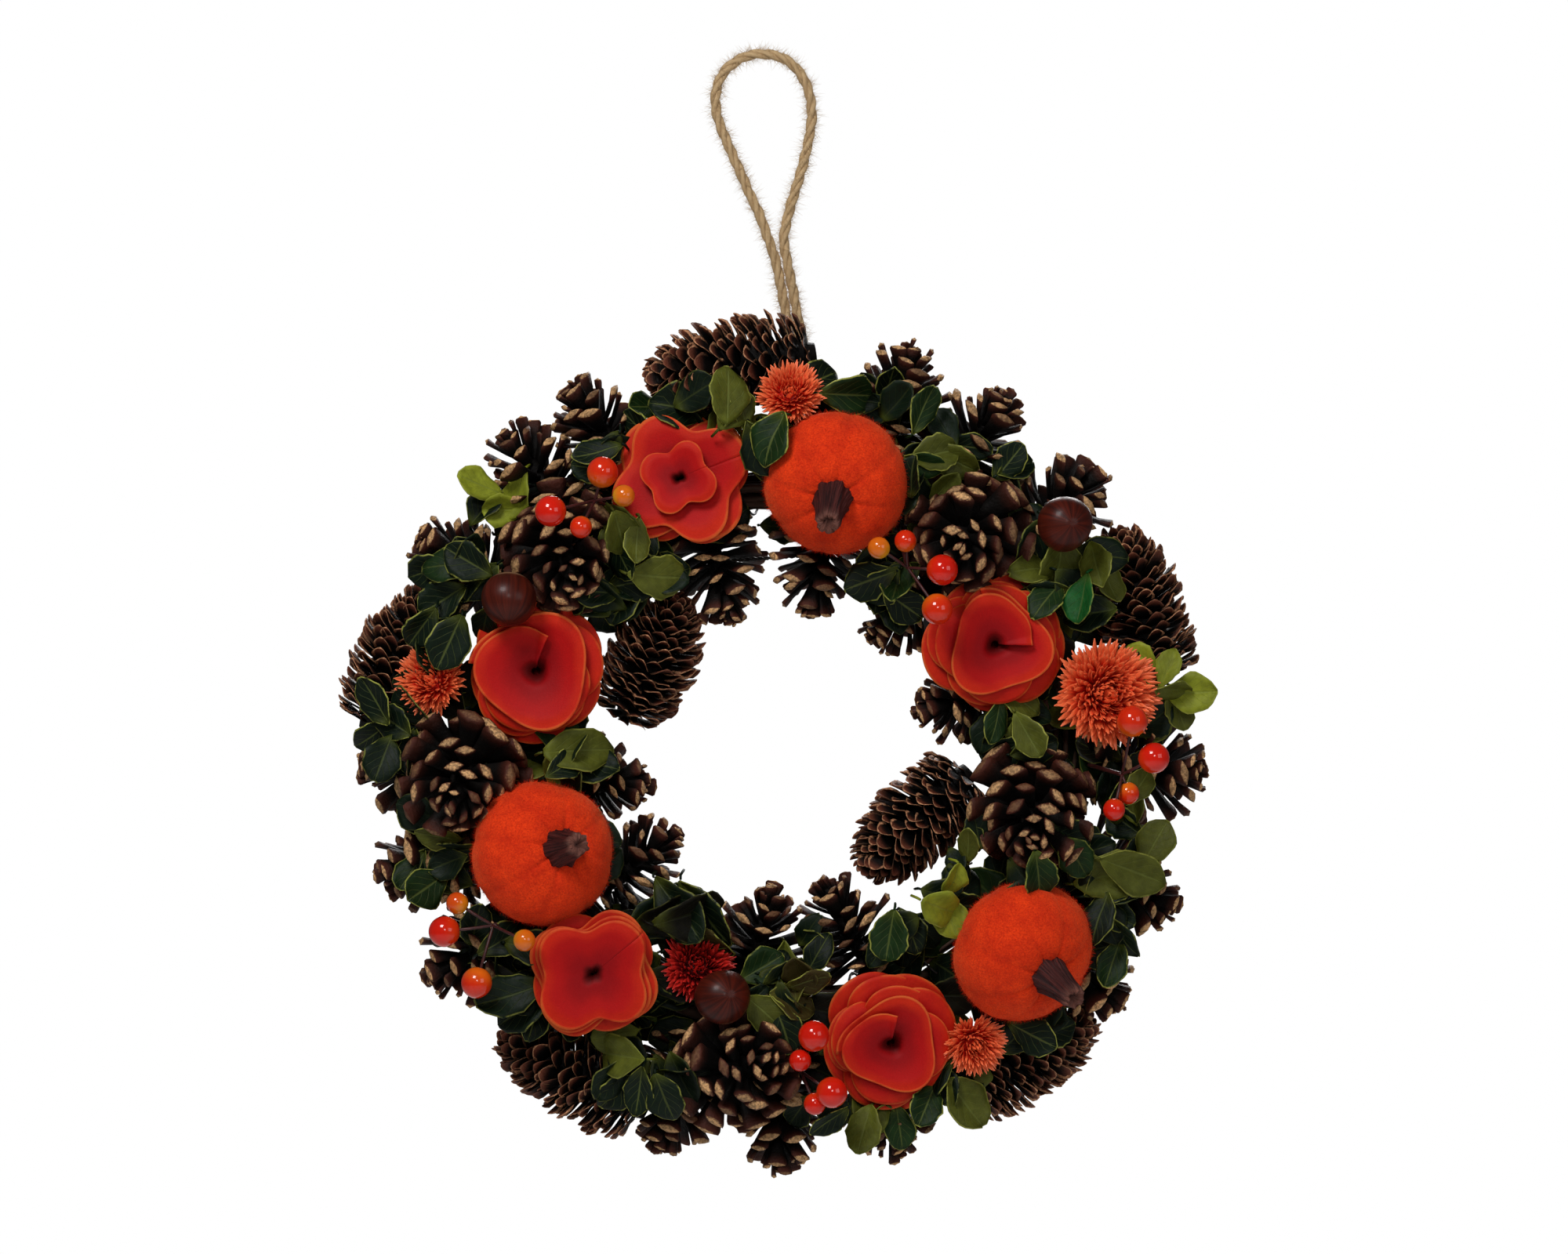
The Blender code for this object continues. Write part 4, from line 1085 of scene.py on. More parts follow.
@dataclass
class Tie:
    """Wraps of the same twine round the ring, with the knot on them."""

    sleeve: float = 16.17
    wraps: int = 3
    pitch: float = 3.7
    twine: float = 1.55
    knot_size: float = 1.02

    def build(self) -> None:
        """Builds the wraps and the knot."""
        angle = np.linspace(0.0, self.wraps * 2 * math.pi, self.wraps * 44)
        centre, out = np.array(on_clock(TIE_CLOCK, 0.0, 0.0)), np.array(heading(TIE_CLOCK))
        ahead, along = np.array(FORWARD), np.array(heading(TIE_CLOCK + 90.0))
        drift = (angle / (2 * math.pi) - self.wraps / 2) * self.pitch
        round_ring = np.cos(angle)[:, None] * out + np.sin(angle)[:, None] * ahead
        wrap = centre + (self.sleeve + self.twine) * round_ring + drift[:, None] * along
        t = np.linspace(0.0, 2 * math.pi, 90)
        knot = np.stack([np.sin(t) + 2 * np.sin(2 * t), -np.sin(3 * t) * 1.2,
                         np.cos(t) - 2 * np.cos(2 * t)], axis=1)
        knot = np.array(KNOT) + knot * self.knot_size
        skin = Skin()
        for line, pitch, offset, radius in ((wrap, 10.0, 0.72, 0.85), (knot, 9.0, 0.62, 0.78)):
            for strand in range(3):
                skin.tube(plied(line, pitch, offset, strand) * MM, radius * MM, 8, ridge=strand_ridge,
                          twist=-20.0)
        wraps = lay("tie_wraps", skin.mesh("tie_wraps"), finishes=[JUTE])
        fuzz = lay("tie_fibres", grown(wraps, fuzz_tree(), Density=2.0e5, Length=0.0022, Thickness=5e-5,
                                       Unruly=1.4, Finish=JUTE.material(), Seed=9))
        enlist(wraps, TIE, "jute", "twine_tie")
        enlist(fuzz, TIE, "jute")


@dataclass
class TwigRing:
    """The hidden base: thin twigs wound into a ring."""

    twigs: int = 74
    bundle: float = 12.4
    twig: float = 1.9
    wraps: int = 30
    wire: float = 0.5

    def build(self) -> None:
        """Grows the bundle, stands it in the wreath's plane and binds it with wire."""
        carrier = lay("ring_seed", bpy.data.meshes.new("ring_seed"))
        mesh = grown(carrier, bundle_tree(), Count=self.twigs, Ring_radius=RING_RADIUS,
                     Bundle_radius=self.bundle, Twig_radius=self.twig, Finish=TWIG_BARK.material(), Seed=12)
        scrap(carrier)
        mesh.polygons.foreach_set("use_smooth", [True] * len(mesh.polygons))
        upright = Matrix.Scale(MM, 4) @ Matrix.Translation(RING_CENTRE) @ Matrix.Rotation(math.pi / 2, 4, "X")
        enlist(lay("ring_twigs", mesh, upright), WREATH, "twigs", "ring_base")
        turns = np.linspace(0.0, 2 * math.pi * self.wraps, 24 * self.wraps)
        reach = RING_THICK / 2 - 0.9 + 0.25 * np.sin(turns * 0.31)
        path = [on_clock(math.degrees(t) / self.wraps + 1.5 * math.sin(t * 0.23), r * math.cos(t),
                         r * math.sin(t)) for t, r in zip(turns.tolist(), reach.tolist())]
        binding = Skin()
        binding.tube(np.array(path) * MM, self.wire * MM, 6)
        enlist(lay("ring_binding", binding.mesh("ring_binding"), finishes=[IRON_WIRE]), WREATH, "twigs")


# Cones

class ConeKind(Enum):
    """The cones' habits."""

    SIDE = "side"
    FRONT = "front"
    LONG = "long"


OPEN_GROWTH = Growth(
    foot=((0.0, 0.04), (0.35, 0.24), (0.7, 0.5), (1.0, 0.76)),
    core=((0.0, 0.16), (0.3, 0.2), (0.7, 0.14), (1.0, 0.03)),
    size=((0.0, 0.72), (0.15, 0.86), (0.4, 0.92), (0.7, 0.8), (0.88, 0.62), (1.0, 0.42)),
    tilt=((0.0, -30.0), (0.2, -8.0), (0.5, 18.0), (0.75, 42.0), (0.9, 62.0), (1.0, 84.0)), wide=1.25)
FRONT_GROWTH = Growth(
    foot=((0.0, 0.05), (0.35, 0.2), (0.7, 0.5), (1.0, 0.76)),
    core=((0.0, 0.2), (0.3, 0.24), (0.7, 0.2), (1.0, 0.03)),
    size=((0.0, 0.74), (0.15, 0.82), (0.4, 0.8), (0.7, 0.66), (0.88, 0.5), (1.0, 0.34)),
    tilt=((0.0, -10.0), (0.2, 8.0), (0.5, 28.0), (0.75, 46.0), (0.9, 66.0), (1.0, 86.0)), wide=1.12)
LONG_GROWTH = Growth(
    foot=((0.0, 0.03), (0.5, 0.44), (1.0, 0.84)),
    core=((0.0, 0.26), (0.12, 0.4), (0.5, 0.42), (0.85, 0.25), (1.0, 0.04)),
    size=((0.0, 0.44), (0.12, 0.7), (0.5, 0.78), (0.85, 0.64), (1.0, 0.4)),
    tilt=((0.0, 8.0), (0.15, 14.0), (0.5, 24.0), (0.85, 42.0), (1.0, 80.0)), wide=0.95)
BRACT_GROWTH = Growth(
    foot=((0.0, 0.12), (0.4, 0.3), (1.0, 0.52)),
    core=((0.0, 0.38), (0.5, 0.36), (0.8, 0.2), (1.0, 0.02)),
    size=((0.0, 0.6), (0.3, 0.6), (0.7, 0.52), (1.0, 0.36)),
    tilt=((0.0, -8.0), (0.3, 14.0), (0.6, 38.0), (0.85, 62.0), (1.0, 84.0)), wide=1.0)


@dataclass
class ScalePattern:
    """One scale or bract of unit length along X, made once and set many times."""

    name: str
    shares: tuple[float, ...]
    widths: tuple[float, ...]
    thick: tuple[float, ...]
    lift: float
    sides: int
    tip_start: float
    beak: float = 0.0
    cup: float = 0.0
    edges: float = 0.0

    def make(self) -> bpy.types.Object:
        """Builds the pattern piece as a helper object."""
        x = np.array(self.shares)
        angles = np.arange(self.sides) * 2 * math.pi / self.sides
        wide, deep = np.array(self.widths)[:, None], np.array(self.thick)[:, None]
        corner = (1.0 - 0.16 * np.abs(np.sin(2 * angles)))[None, :]
        y = wide * np.cos(angles)[None, :] * corner
        z = (deep * np.sin(angles)[None, :] * corner + self.lift * x[:, None] ** 2
             - self.cup * (y / wide.max()) ** 2 * x[:, None])
        grid = np.stack([x[:, None] * np.ones_like(y), y, z], axis=2)
        tip = smooth_step(self.tip_start, self.tip_start + 0.14, x)[:, None] * np.ones_like(y)
        # Pale lines along the scale's sides, stored as tip: partly the scale's own paler margin, partly a
        # painted highlight on its lit edge.
        edges = self.edges * np.abs(np.cos(angles))[None, :] ** 6 * smooth_step(0.35, 0.6, x)[:, None]
        tip = np.maximum(tip, edges)
        skin = Skin()
        skin.sheet(grid, wrap=True, caps=True, tip=tip, reach=x[:, None] * np.ones_like(y))
        skin.points[-1][0, 0] += self.beak
        skin.values["tip"][-1][:] = 1.0
        mesh = skin.mesh(self.name)
        flat = len(skin.faces) - self.sides
        mesh.polygons.foreach_set("use_smooth", [i < flat for i in range(len(skin.faces))])
        return lay(self.name, mesh)


PINE_SCALE = ScalePattern(
    "pine_scale", (0.0, 0.35, 0.7, 0.9, 0.97, 0.99), (0.09, 0.14, 0.19, 0.235, 0.2, 0.1),
    (0.06, 0.06, 0.065, 0.085, 0.09, 0.05), lift=0.12, sides=8, tip_start=0.88, beak=0.04)
BROAD_SCALE = ScalePattern(
    "broad_scale", (0.0, 0.35, 0.68, 0.89, 0.97, 0.99), (0.1, 0.15, 0.2, 0.25, 0.24, 0.16),
    (0.06, 0.065, 0.08, 0.13, 0.145, 0.09), lift=0.1, sides=8, tip_start=0.9, beak=0.035)
SPRUCE_SCALE = ScalePattern(
    "spruce_scale", (0.0, 0.3, 0.6, 0.8, 0.93, 1.0), (0.16, 0.26, 0.33, 0.31, 0.2, 0.07),
    (0.04, 0.035, 0.03, 0.026, 0.024, 0.018), lift=0.06, sides=8, tip_start=0.9, beak=0.005, cup=0.16,
    edges=1.0)
BRACT = ScalePattern(
    "bract", (0.0, 0.35, 0.75, 1.0), (0.045, 0.09, 0.085, 0.02), (0.02, 0.026, 0.02, 0.006),
    lift=0.36, sides=6, tip_start=0.3, beak=0.01)


class ConeMaker:
    """Grows cones from the patterns and stands them on the ring."""

    def __init__(self) -> None:
        """Makes the patterns and the trees once."""
        self.kinds = {
            ConeKind.SIDE: (PINE_SCALE.make(), spiral_tree("Side cone", OPEN_GROWTH), PINE_BARK, 58),
            ConeKind.FRONT: (BROAD_SCALE.make(), spiral_tree("Front cone", FRONT_GROWTH), PINE_BARK, 54),
            ConeKind.LONG: (SPRUCE_SCALE.make(), spiral_tree("Long cone", LONG_GROWTH), SPRUCE_BARK,
                            210)}
        self.seed = 0

    def grow(self, name: str, kind: ConeKind, matrix: Matrix, length: float,
             width: float) -> bpy.types.Object:
        """Grows one cone.

        Args:
            name: the object's name.
            kind: the cone's habit.
            matrix: where it stands.
            length: its length in millimetres.
            width: its width in millimetres.

        Returns:
            The cone's object.
        """
        pattern, tree, finish, count = self.kinds[kind]
        self.seed += 101
        core = Skin()
        belly, unruly = (0.5, 0.16) if kind is ConeKind.LONG else (0.2, 0.2)
        rise = np.linspace(0.0, 1.0, 9)
        radius = width / 2 * belly * (0.25 + 0.75 * np.sin(math.pi * np.clip(rise * 0.86 + 0.1, 0, 1)))
        # The core has no reach value, so the bark's painted shade turns it near black.
        core.turned(list(zip(radius, rise * length * 0.84)), 12, tip=0.0, tone=0.9)
        carrier = lay("core", core.mesh("core"))
        mesh = grown(carrier, tree, Pattern=pattern, Count=count, Length=length, Radius=width / 2,
                     Unruly=unruly, Finish=finish.material(), Seed=self.seed)
        scrap(carrier)
        return lay(name, mesh, matrix)

    def finish(self) -> None:
        """Removes the patterns."""
        for pattern, *_ in self.kinds.values():
            scrap(pattern)


@dataclass
class RingCones:
    """Open cones wired or glued to the outer and inner side of the ring, singly or in pairs."""

    maker: ConeMaker
    outer: dict[str, tuple[tuple[float, float, float], ...]] = field(default_factory=lambda: {
        "pine_cones_top_left": ((331, -6, 18), (317, 6, 12)), "pine_cone_left_high": ((301, -4, 14),),
        "pine_cone_top_right": ((18, 0, 8),), "pine_cones_right_high": ((32, 0, 22), (48, 3, 20)),
        "pine_cone_right": ((94, -4, 10),), "pine_cones_right_low": ((112, 2, 16), (128, -2, 8)),
        "pine_cones_bottom": ((165, -4, 10), (181, 0, 18)), "pine_cone_bottom_left": ((196, 6, 12),),
        "pine_cones_left_low": ((252, 4, 10), (237, -2, 12)), "pine_cone_left": ((266, 6, 6),)})
    inner: dict[str, tuple[tuple[float, float, float], ...]] = field(default_factory=lambda: {
        "pine_cones_inner_top": ((341, 6, 16), (11, 0, 10)),
        "pine_cones_inner_right": ((44, 8, 10), (75, 0, 14)),
        "pine_cones_inner_bottom": ((159, -6, 14), (188, 4, 18)),
        "pine_cones_inner_left": ((232, 0, 10), (260, 4, 14))})
    outer_size: tuple[float, float] = (47.0, 40.0)
    inner_size: tuple[float, float] = (42.0, 35.0)
    foot_depth: float = 4.0
    waist: float = 14.0

    def build(self) -> None:
        """Grows every cone and joins the pairs with their wire."""
        for table, side, (length, width), turned in ((self.outer, 1, self.outer_size, 0.0),
                                                     (self.inner, -1, self.inner_size, 180.0)):
            for name, rows in table.items():
                cones, waist = [], []
                for clock, turn, lean in rows:
                    foot = on_clock(clock, side * RING_OUT, self.foot_depth)
                    axis = pointing(clock + turn + turned, lean)
                    cones.append(self.maker.grow(f"{name}_scales", ConeKind.SIDE,
                                                 frame_at(foot, axis, clock * 7.0), length, width))
                    waist.append(foot + self.waist * axis)
                if len(cones) == 2:
                    cones.append(self.wire(waist))
                enlist(merged(cones), WREATH, "cone_bark", name)

    @staticmethod
    def wire(ends: Sequence[Vector]) -> bpy.types.Object:
        """Two strands of binding wire between a pair of cones."""
        skin = Skin()
        line = np.linspace(np.array(ends[0]), np.array(ends[1]), 40)
        for strand in range(2):
            skin.tube(plied(line, 5.0, 0.45, strand, 2) * MM, 0.42 * MM, 6, tip=0.0, tone=0.5)
        return lay("pair_wire", skin.mesh("pair_wire"), finishes=[IRON_WIRE])


@dataclass
class FacingCones:
    """Open cones glued on the front, seen from their tips."""

    maker: ConeMaker
    rows: dict[str, tuple[float, float, float, float]] = field(default_factory=lambda: {
        "front_top_left": (313, 12, 160, 24), "front_top_right": (39, 6, 200, 16),
        "front_right": (101, -8, 190, 22), "front_bottom": (190, 21, 60, 26),
        "front_left": (268, 16, 190, 24)})
    size: tuple[float, float] = (44.0, 47.0)

    def build(self) -> None:
        """Grows the cones."""
        for name, (clock, place, towards, lean) in self.rows.items():
            matrix = frame_at(on_clock(clock, place, RING_OUT), leaning(towards, lean), clock)
            cone = self.maker.grow(f"pine_cone_{name}_scales", ConeKind.FRONT, matrix, *self.size)
            enlist(cone, WREATH, "cone_bark", f"pine_cone_{name}")


@dataclass
class LongCones:
    """Spruce cones lying along the ring."""

    maker: ConeMaker
    rows: dict[str, tuple[float, float, float, float, float, float]] = field(default_factory=lambda: {
        "top": (351, 43, 22, 261, 4, 72), "left": (284, 47, 4, 24, 4, 66),
        "inner_left": (306, -44, 10, 25, 20, 58), "right": (67, 43, 6, 343, 6, 68),
        "inner_right": (121, -48, 8, 227, 8, 62),
        "bottom_left": (214, 44, 6, 298, 2, 70), "bottom_right": (141, 46, 2, 60, 4, 66)})
    width: float = 32.0

    def build(self) -> None:
        """Grows the cones."""
        for name, (clock, place, depth, tip, lean, length) in self.rows.items():
            axis = pointing(tip, lean)
            foot = on_clock(clock, place, depth) - length / 2 * axis
            cone = self.maker.grow(f"spruce_cone_{name}_scales", ConeKind.LONG,
                                   frame_at(foot, axis, clock), length, self.width)
            enlist(cone, WREATH, "cone_bark", f"spruce_cone_{name}")


# Flowers

@dataclass
class ShavingRose:
    """A rose wound from one strip of dyed wood shaving."""

    name: str
    clock: float
    place: float
    radius: float
    turn: float
    towards: float
    lean: float
    back: float
    lobes: float = 3.0
    depth: float = 0.06
    hollow: float = 5.0
    dish: float = 0.76
    seamed: bool = True
    layers: tuple[tuple[float, float, float], ...] = ()
    rings: tuple[tuple[int, float, float, float], ...] = ()
    lip: float = 1.4
    notch: float = 0.28
    height: float = 26.0

    def build(self) -> None:
        """Winds the strip, gives it its thickness and stands it on the ring."""
        skin = Skin()
        if self.seamed:
            self.eye(skin)
        for reach, low, turn in self.layers:
            self.layer(skin, reach * self.radius, low, math.radians(turn))
        for ring, (count, reach, low, slope) in enumerate(self.rings):
            for k in range(count):
                bearing = 2 * math.pi * (k + 0.37 * ring) / count + 0.14 * math.sin(5.1 * k + self.turn)
                self.petal(skin, bearing, 2 * math.pi / count * (1.34 if ring else 1.22),
                           reach * self.radius * (1 + 0.05 * math.sin(3.3 * k + ring)), low - 0.5 * k,
                           slope)
        matrix = frame_at(on_clock(self.clock, self.place, self.back), leaning(self.towards, self.lean),
                          self.turn)
        petals = lay(f"{self.name}_petals", skin.mesh(f"{self.name}_petals"), matrix, [RED_SHAVING])
        thick = petals.modifiers.new("thickness", "SOLIDIFY")
        thick.thickness, thick.offset = PETAL_THICKNESS, -1.0
        hold = Skin()
        hold.turned([(0.4 * self.radius, 0.4), (0.5 * self.radius, 3.0), (0.56 * self.radius, 6.5),
                     (0.3 * self.radius, 9.0)], 24, rim=0.1)
        cup = lay(f"{self.name}_foot", hold.mesh(f"{self.name}_foot"), matrix, [RED_SHAVING])
        enlist(petals, WREATH, "red_shaving", self.name)
        enlist(cup, WREATH, "red_shaving")

    def eye(self, skin: Skin) -> None:
        """Adds the strip's first turn and a bit, a wide dish round a small eye that the finish's painted
        shade makes dark.
        """
        u = np.linspace(0.0, 1.0, 110)[:, None]
        v = np.linspace(0.0, 1.0, 20)[None, :]
        angle = u * 2 * math.pi * 1.3
        wound = angle / (2 * math.pi)
        opening = smooth_step(0.0, 0.9, angle)
        wave = np.cos(self.lobes * angle + 0.6)
        rim = self.radius * self.dish * (0.7 + 0.3 * opening + 0.1 * (wound - 0.6)) * (1 + self.depth * wave)
        eye = 0.055 * self.radius + 0.6 * wound
        out = eye + (rim - eye) * v ** 0.8
        lift = self.hollow * (out / (self.radius * self.dish)) ** 1.6
        lip = -self.lip * smooth_step(0.72, 1.0, v) * (0.7 + 0.3 * wave)
        well = -3.2 * (1.0 - smooth_step(0.0, 0.16, v))
        curl = 1.8 * (1.0 - smooth_step(0.0, 0.3, angle)) * v ** 0.7
        rise = self.height - self.hollow - 0.5 - 2.6 * wound + lift + lip + well + curl
        rim_value = (0.04 + 0.96 * smooth_step(0.0, 1.0, v)) * np.ones_like(u)
        skin.sheet(round_grid(out, angle, rise)[::-1], rim=rim_value[::-1],
                   flow=round_grid(0.3 + v, angle, angle * 0.3)[::-1])

    def layer(self, skin: Skin, reach: float, low: float, turn: float) -> None:
        """Adds one whole turn as a shallow dish with a lobed rim.

        Args:
            skin: where it is added.
            reach: the rim's mean radius.
            low: how far it lies below the rose's top.
            turn: the lobes' turn.
        """
        angle = (np.arange(120) * 2 * math.pi / 120)[:, None]
        v = np.linspace(0.0, 1.0, 18)[None, :]
        wave = np.cos(self.lobes * (angle - turn)) + 0.35 * np.cos(2 * angle + turn)
        rim = reach * (1 + self.depth * (wave - 0.25 * wave ** 2)) * np.ones_like(angle)
        eye = 0.05 * self.radius * (1 + 0.35 * np.cos(2 * angle))
        out = eye + (rim - eye) * v ** 0.9
        rise = (self.height - low - self.hollow - 1.0 + self.hollow * (out / reach) ** 1.5
                - self.lip * smooth_step(0.74, 1.0, v) * (0.8 + 0.3 * wave)
                - 3.0 * (1 - smooth_step(0.0, 0.1, v))
                + 0.8 * np.sin(2 * angle + turn) * v)
        rim_value = (0.03 + 0.97 * smooth_step(0.0, 1.0, v)) * np.ones_like(angle)
        grid, rim_value, flow = (np.concatenate([x, x[:1]])[::-1] for x in (
            round_grid(out, angle, rise), rim_value, round_grid(0.3 + v, angle, 0.0)))
        skin.sheet(grid, rim=rim_value, flow=flow)

    def petal(self, skin: Skin, bearing: float, spread: float, reach: float, low: float,
              slope: float) -> None:
        """Adds one rounded petal.

        Args:
            skin: where it is added.
            bearing: the direction of its middle.
            spread: the angle that it takes.
            reach: how far it reaches from the rose's middle.
            low: how far its rim is below the rose's top.
            slope: how far one side lies below the other.
        """
        s = np.linspace(-1.0, 1.0, 27)[:, None]
        v = np.linspace(0.0, 1.0, 12)[None, :]
        angle = bearing + s * spread / 2
        inner = 0.22 * self.radius
        outer = reach * (1.0 - self.notch * np.abs(s) ** 2.6)
        out = inner + (outer - inner) * v
        share = out / self.radius
        rise = (self.height - low - 4.0 + 4.0 * share ** 1.3 - self.lip * 1.3 * smooth_step(0.7, 1.0, v)
                - 3.0 * (1.0 - smooth_step(0.0, 0.5, v))
                - 1.2 * np.abs(s) ** 3 * v + slope * s * (0.4 + 0.6 * v)
                + 0.5 * np.sin(3.0 * s + bearing) * v ** 2)
        # The rim value rises along the petal's sides too, so the painted rim highlight runs round them.
        rim = np.maximum(smooth_step(0.0, 1.0, v) * np.ones_like(s), smooth_step(0.9, 1.0, np.abs(s)) * v)
        skin.sheet(round_grid(out, angle, rise)[::-1], rim=rim[::-1],
                   flow=round_grid(0.3 + v, angle, s * 0.6)[::-1])


@dataclass
class Roses:
    """The five roses."""

    under: tuple[tuple[int, float, float, float], ...] = ((4, 0.86, 5.0, 1.0), (5, 0.94, 8.6, 1.0),
                                                          (5, 1.0, 12.4, 0.8))
    rows: dict[str, tuple[tuple[float, ...], dict[str, Any]]] = field(default_factory=lambda: {
        "rose_top": ((340, 3, 27, 20, 300, 8, 16), {
            "seamed": False, "lobes": 4, "depth": 0.15, "hollow": 2.8,
            "layers": ((0.5, 0.0, 50.0), (0.9, 4.0, 8.0), (0.93, 7.5, 24.0)),
            "rings": ((5, 0.98, 11.0, 1.0),)}),
        "rose_left": ((288, -8, 27, 65, 270, 6, 17), {"dish": 0.8, "depth": 0.09}),
        "rose_right": ((62, -17, 27, 0, 120, 8, 17), {"dish": 0.7, "depth": 0.13}),
        "rose_bottom_left": ((221, 3, 25, 40, 200, 6, 24), {
            "seamed": False, "lobes": 4, "depth": 0.14, "hollow": 2.6,
            "layers": ((0.86, 0.0, 10.0), (0.9, 2.2, 14.0), (0.94, 4.6, 22.0)),
            "rings": ((4, 0.98, 8.0, 1.0),)}),
        "rose_bottom": ((160, 10, 27, 80, 160, 10, 16), {"dish": 0.66, "depth": 0.12})})

    def build(self) -> None:
        """Builds every rose."""
        for name, (place, habit) in self.rows.items():
            ShavingRose(name, *place, **{"rings": self.under, **habit}).build()


@dataclass
class Strawflowers:
    """Dried strawflowers: a dome of narrow papery bracts."""

    rows: dict[str, tuple[float, ...]] = field(default_factory=lambda: {
        "top": (1, 29, 12.5, 37, 0, 14), "left": (281, 31, 13.5, 25, 300, 16),
        "right": (80, 18, 20, 28, 80, 12), "bottom_left": (202, -16, 14, 24, 30, 16),
        "bottom_right": (147, 27, 12, 29, 147, 20)})
    dome: float = 0.75
    core: tuple[tuple[float, float], ...] = ((0.3, 0.0), (0.42, 0.15), (0.36, 0.35), (0.2, 0.44))

    def build(self) -> None:
        """Grows every head."""
        tree, pattern = spiral_tree("Strawflower", BRACT_GROWTH), BRACT.make()
        for seed, (name, (clock, place, radius, depth, towards, lean)) in enumerate(self.rows.items()):
            # The bottom-left head takes the darker bract, which is partly painted shade.
            finish = CRIMSON_SHADED_BRACT if name == "bottom_left" else CORAL_BRACT
            core = Skin()
            core.turned([(radius * r, radius * h) for r, h in self.core], 14, tip=0.0, tone=0.8)
            carrier = lay("core", core.mesh("core"))
            mesh = grown(carrier, tree, Pattern=pattern, Count=620 if radius > 16 else 380,
                         Length=self.dome * radius, Radius=radius, Unruly=0.2, Finish=finish.material(),
                         Seed=40 + seed)
            scrap(carrier)
            matrix = frame_at(on_clock(clock, place, depth), leaning(towards, lean))
            enlist(lay(f"strawflower_{name}_bracts", mesh, matrix), WREATH, "strawflower_bract",
                   f"strawflower_{name}")
        scrap(pattern)


# Pumpkins

@dataclass
class Pumpkin:
    """A stuffed felt pumpkin with its dry stalk."""

    name: str
    clock: float
    place: float
    towards: float
    lean: float
    radius: float = 27.5
    height: float = 42.0
    ribs: int = 8
    groove: float = 0.024
    middle_depth: float = 36.5
    dimple: float = 2.5
    bend: float = 6.0

    def build(self) -> None:
        """Builds the felt, its nap and the stalk."""
        axis = leaning(self.towards, self.lean)
        middle = on_clock(self.clock, self.place, self.middle_depth)
        felt = self.felt(frame_at(middle, axis, 10.0))
        nap = lay(f"{self.name}_nap", grown(felt, fuzz_tree(), Density=1.1e6, Length=0.0021, Thickness=5.5e-5,
                                            Unruly=1.3, Finish=ORANGE_FELT.material(), Seed=int(self.clock)))
        enlist(felt, WREATH, "orange_felt", self.name)
        enlist(nap, WREATH, "orange_felt")
        foot = middle + (self.height / 2 - self.dimple + 0.35) * axis
        stand = frame_at(foot, axis, self.clock)
        bend = np.array(stand.to_3x3().inverted() @ heading(self.towards)) * MM * self.bend
        enlist(self.stalk(stand, bend), WREATH, "stem_wood", f"{self.name}_stem")

    def felt(self, matrix: Matrix) -> bpy.types.Object:
        """The ribbed body."""
        rows, cols = 46, 96
        polar = np.linspace(0.03, math.pi - 0.03, rows)[:, None]
        angle = (np.arange(cols) * 2 * math.pi / cols)[None, :]
        valley = (1.0 - np.abs(np.cos(self.ribs / 2 * angle))) ** 3.0
        fade = np.sin(polar) ** 0.5
        radius = self.radius * np.sin(polar) ** 0.88 * (1.0 - self.groove * valley * fade)
        radius = radius * (1 + 0.008 * np.sin(5 * angle + 3 * polar) + 0.006 * np.cos(3 * angle - 4 * polar))
        near = np.exp(-((radius / 8.0) ** 2))
        rise = -np.cos(polar) * (self.height / 2 + 0.4) - np.sign(-np.cos(polar)) * self.dimple * near
        rise = rise - np.sign(-np.cos(polar)) * 1.1 * valley * np.exp(-((radius / 16.0) ** 2))
        skin = Skin()
        # The groove value marks where painted shade falls: the rib valleys and the dimple round the stalk.
        groove = np.clip(valley * fade * 0.8 + 0.9 * near * (polar > 1.5), 0.0, 1.0)
        skin.sheet(round_grid(radius, angle, rise), wrap=True, caps=True, groove=groove)
        return lay(f"{self.name}_felt", skin.mesh(f"{self.name}_felt"), matrix, [ORANGE_FELT])

    def stalk(self, matrix: Matrix, bend: np.ndarray) -> bpy.types.Object:
        """The fluted dry stalk, flared at its foot and broken off at its end."""
        skin = Skin()
        profile = [(7.4, 0.0), (7.2, 1.2), (6.4, 3.6), (5.7, 6.5), (5.0, 9.5), (4.6, 12.0), (4.5, 14.2),
                   (3.6, 15.4), (1.8, 14.9)]

        def flutes(angle: np.ndarray, share: np.ndarray) -> np.ndarray:
            """Uneven flutes that twist a little on the way up."""
            turned = angle + 0.7 * share
            return (1 + 0.08 * np.cos(6 * turned) + 0.05 * np.cos(11 * turned + 2)
                    + 0.035 * np.cos(19 * turned + 1))

        skin.turned(profile, 56, flutes, cut=0.0)
        points = skin.points[0]
        share = points[:, 2] / 15.0
        points += np.outer(share ** 1.6, bend)
        points[:, 2] += 0.9 * np.sin(points[:, 0] * 2.3) * np.cos(points[:, 1] * 1.7) * share ** 3
        skin.values["cut"][0][:, 0] = smooth_step(0.93, 0.98, share)
        return lay(f"{self.name}_stalk", skin.mesh(f"{self.name}_stalk"), matrix, [STEM_WOOD])


@dataclass
class Pumpkins:
    """The three pumpkins."""

    rows: dict[str, tuple[tuple[float, float, float, float], float]] = field(default_factory=lambda: {
        "pumpkin_top": ((11, -2, 192, 20), 5.0), "pumpkin_left": ((247, -6, 72, 26), 1.0),
        "pumpkin_right": ((130, 13, 131, 38), 3.0)})

    def build(self) -> None:
        """Builds every pumpkin."""
        for name, (place, bend) in self.rows.items():
            Pumpkin(name, *place, bend=bend).build()


# Nuts and berries

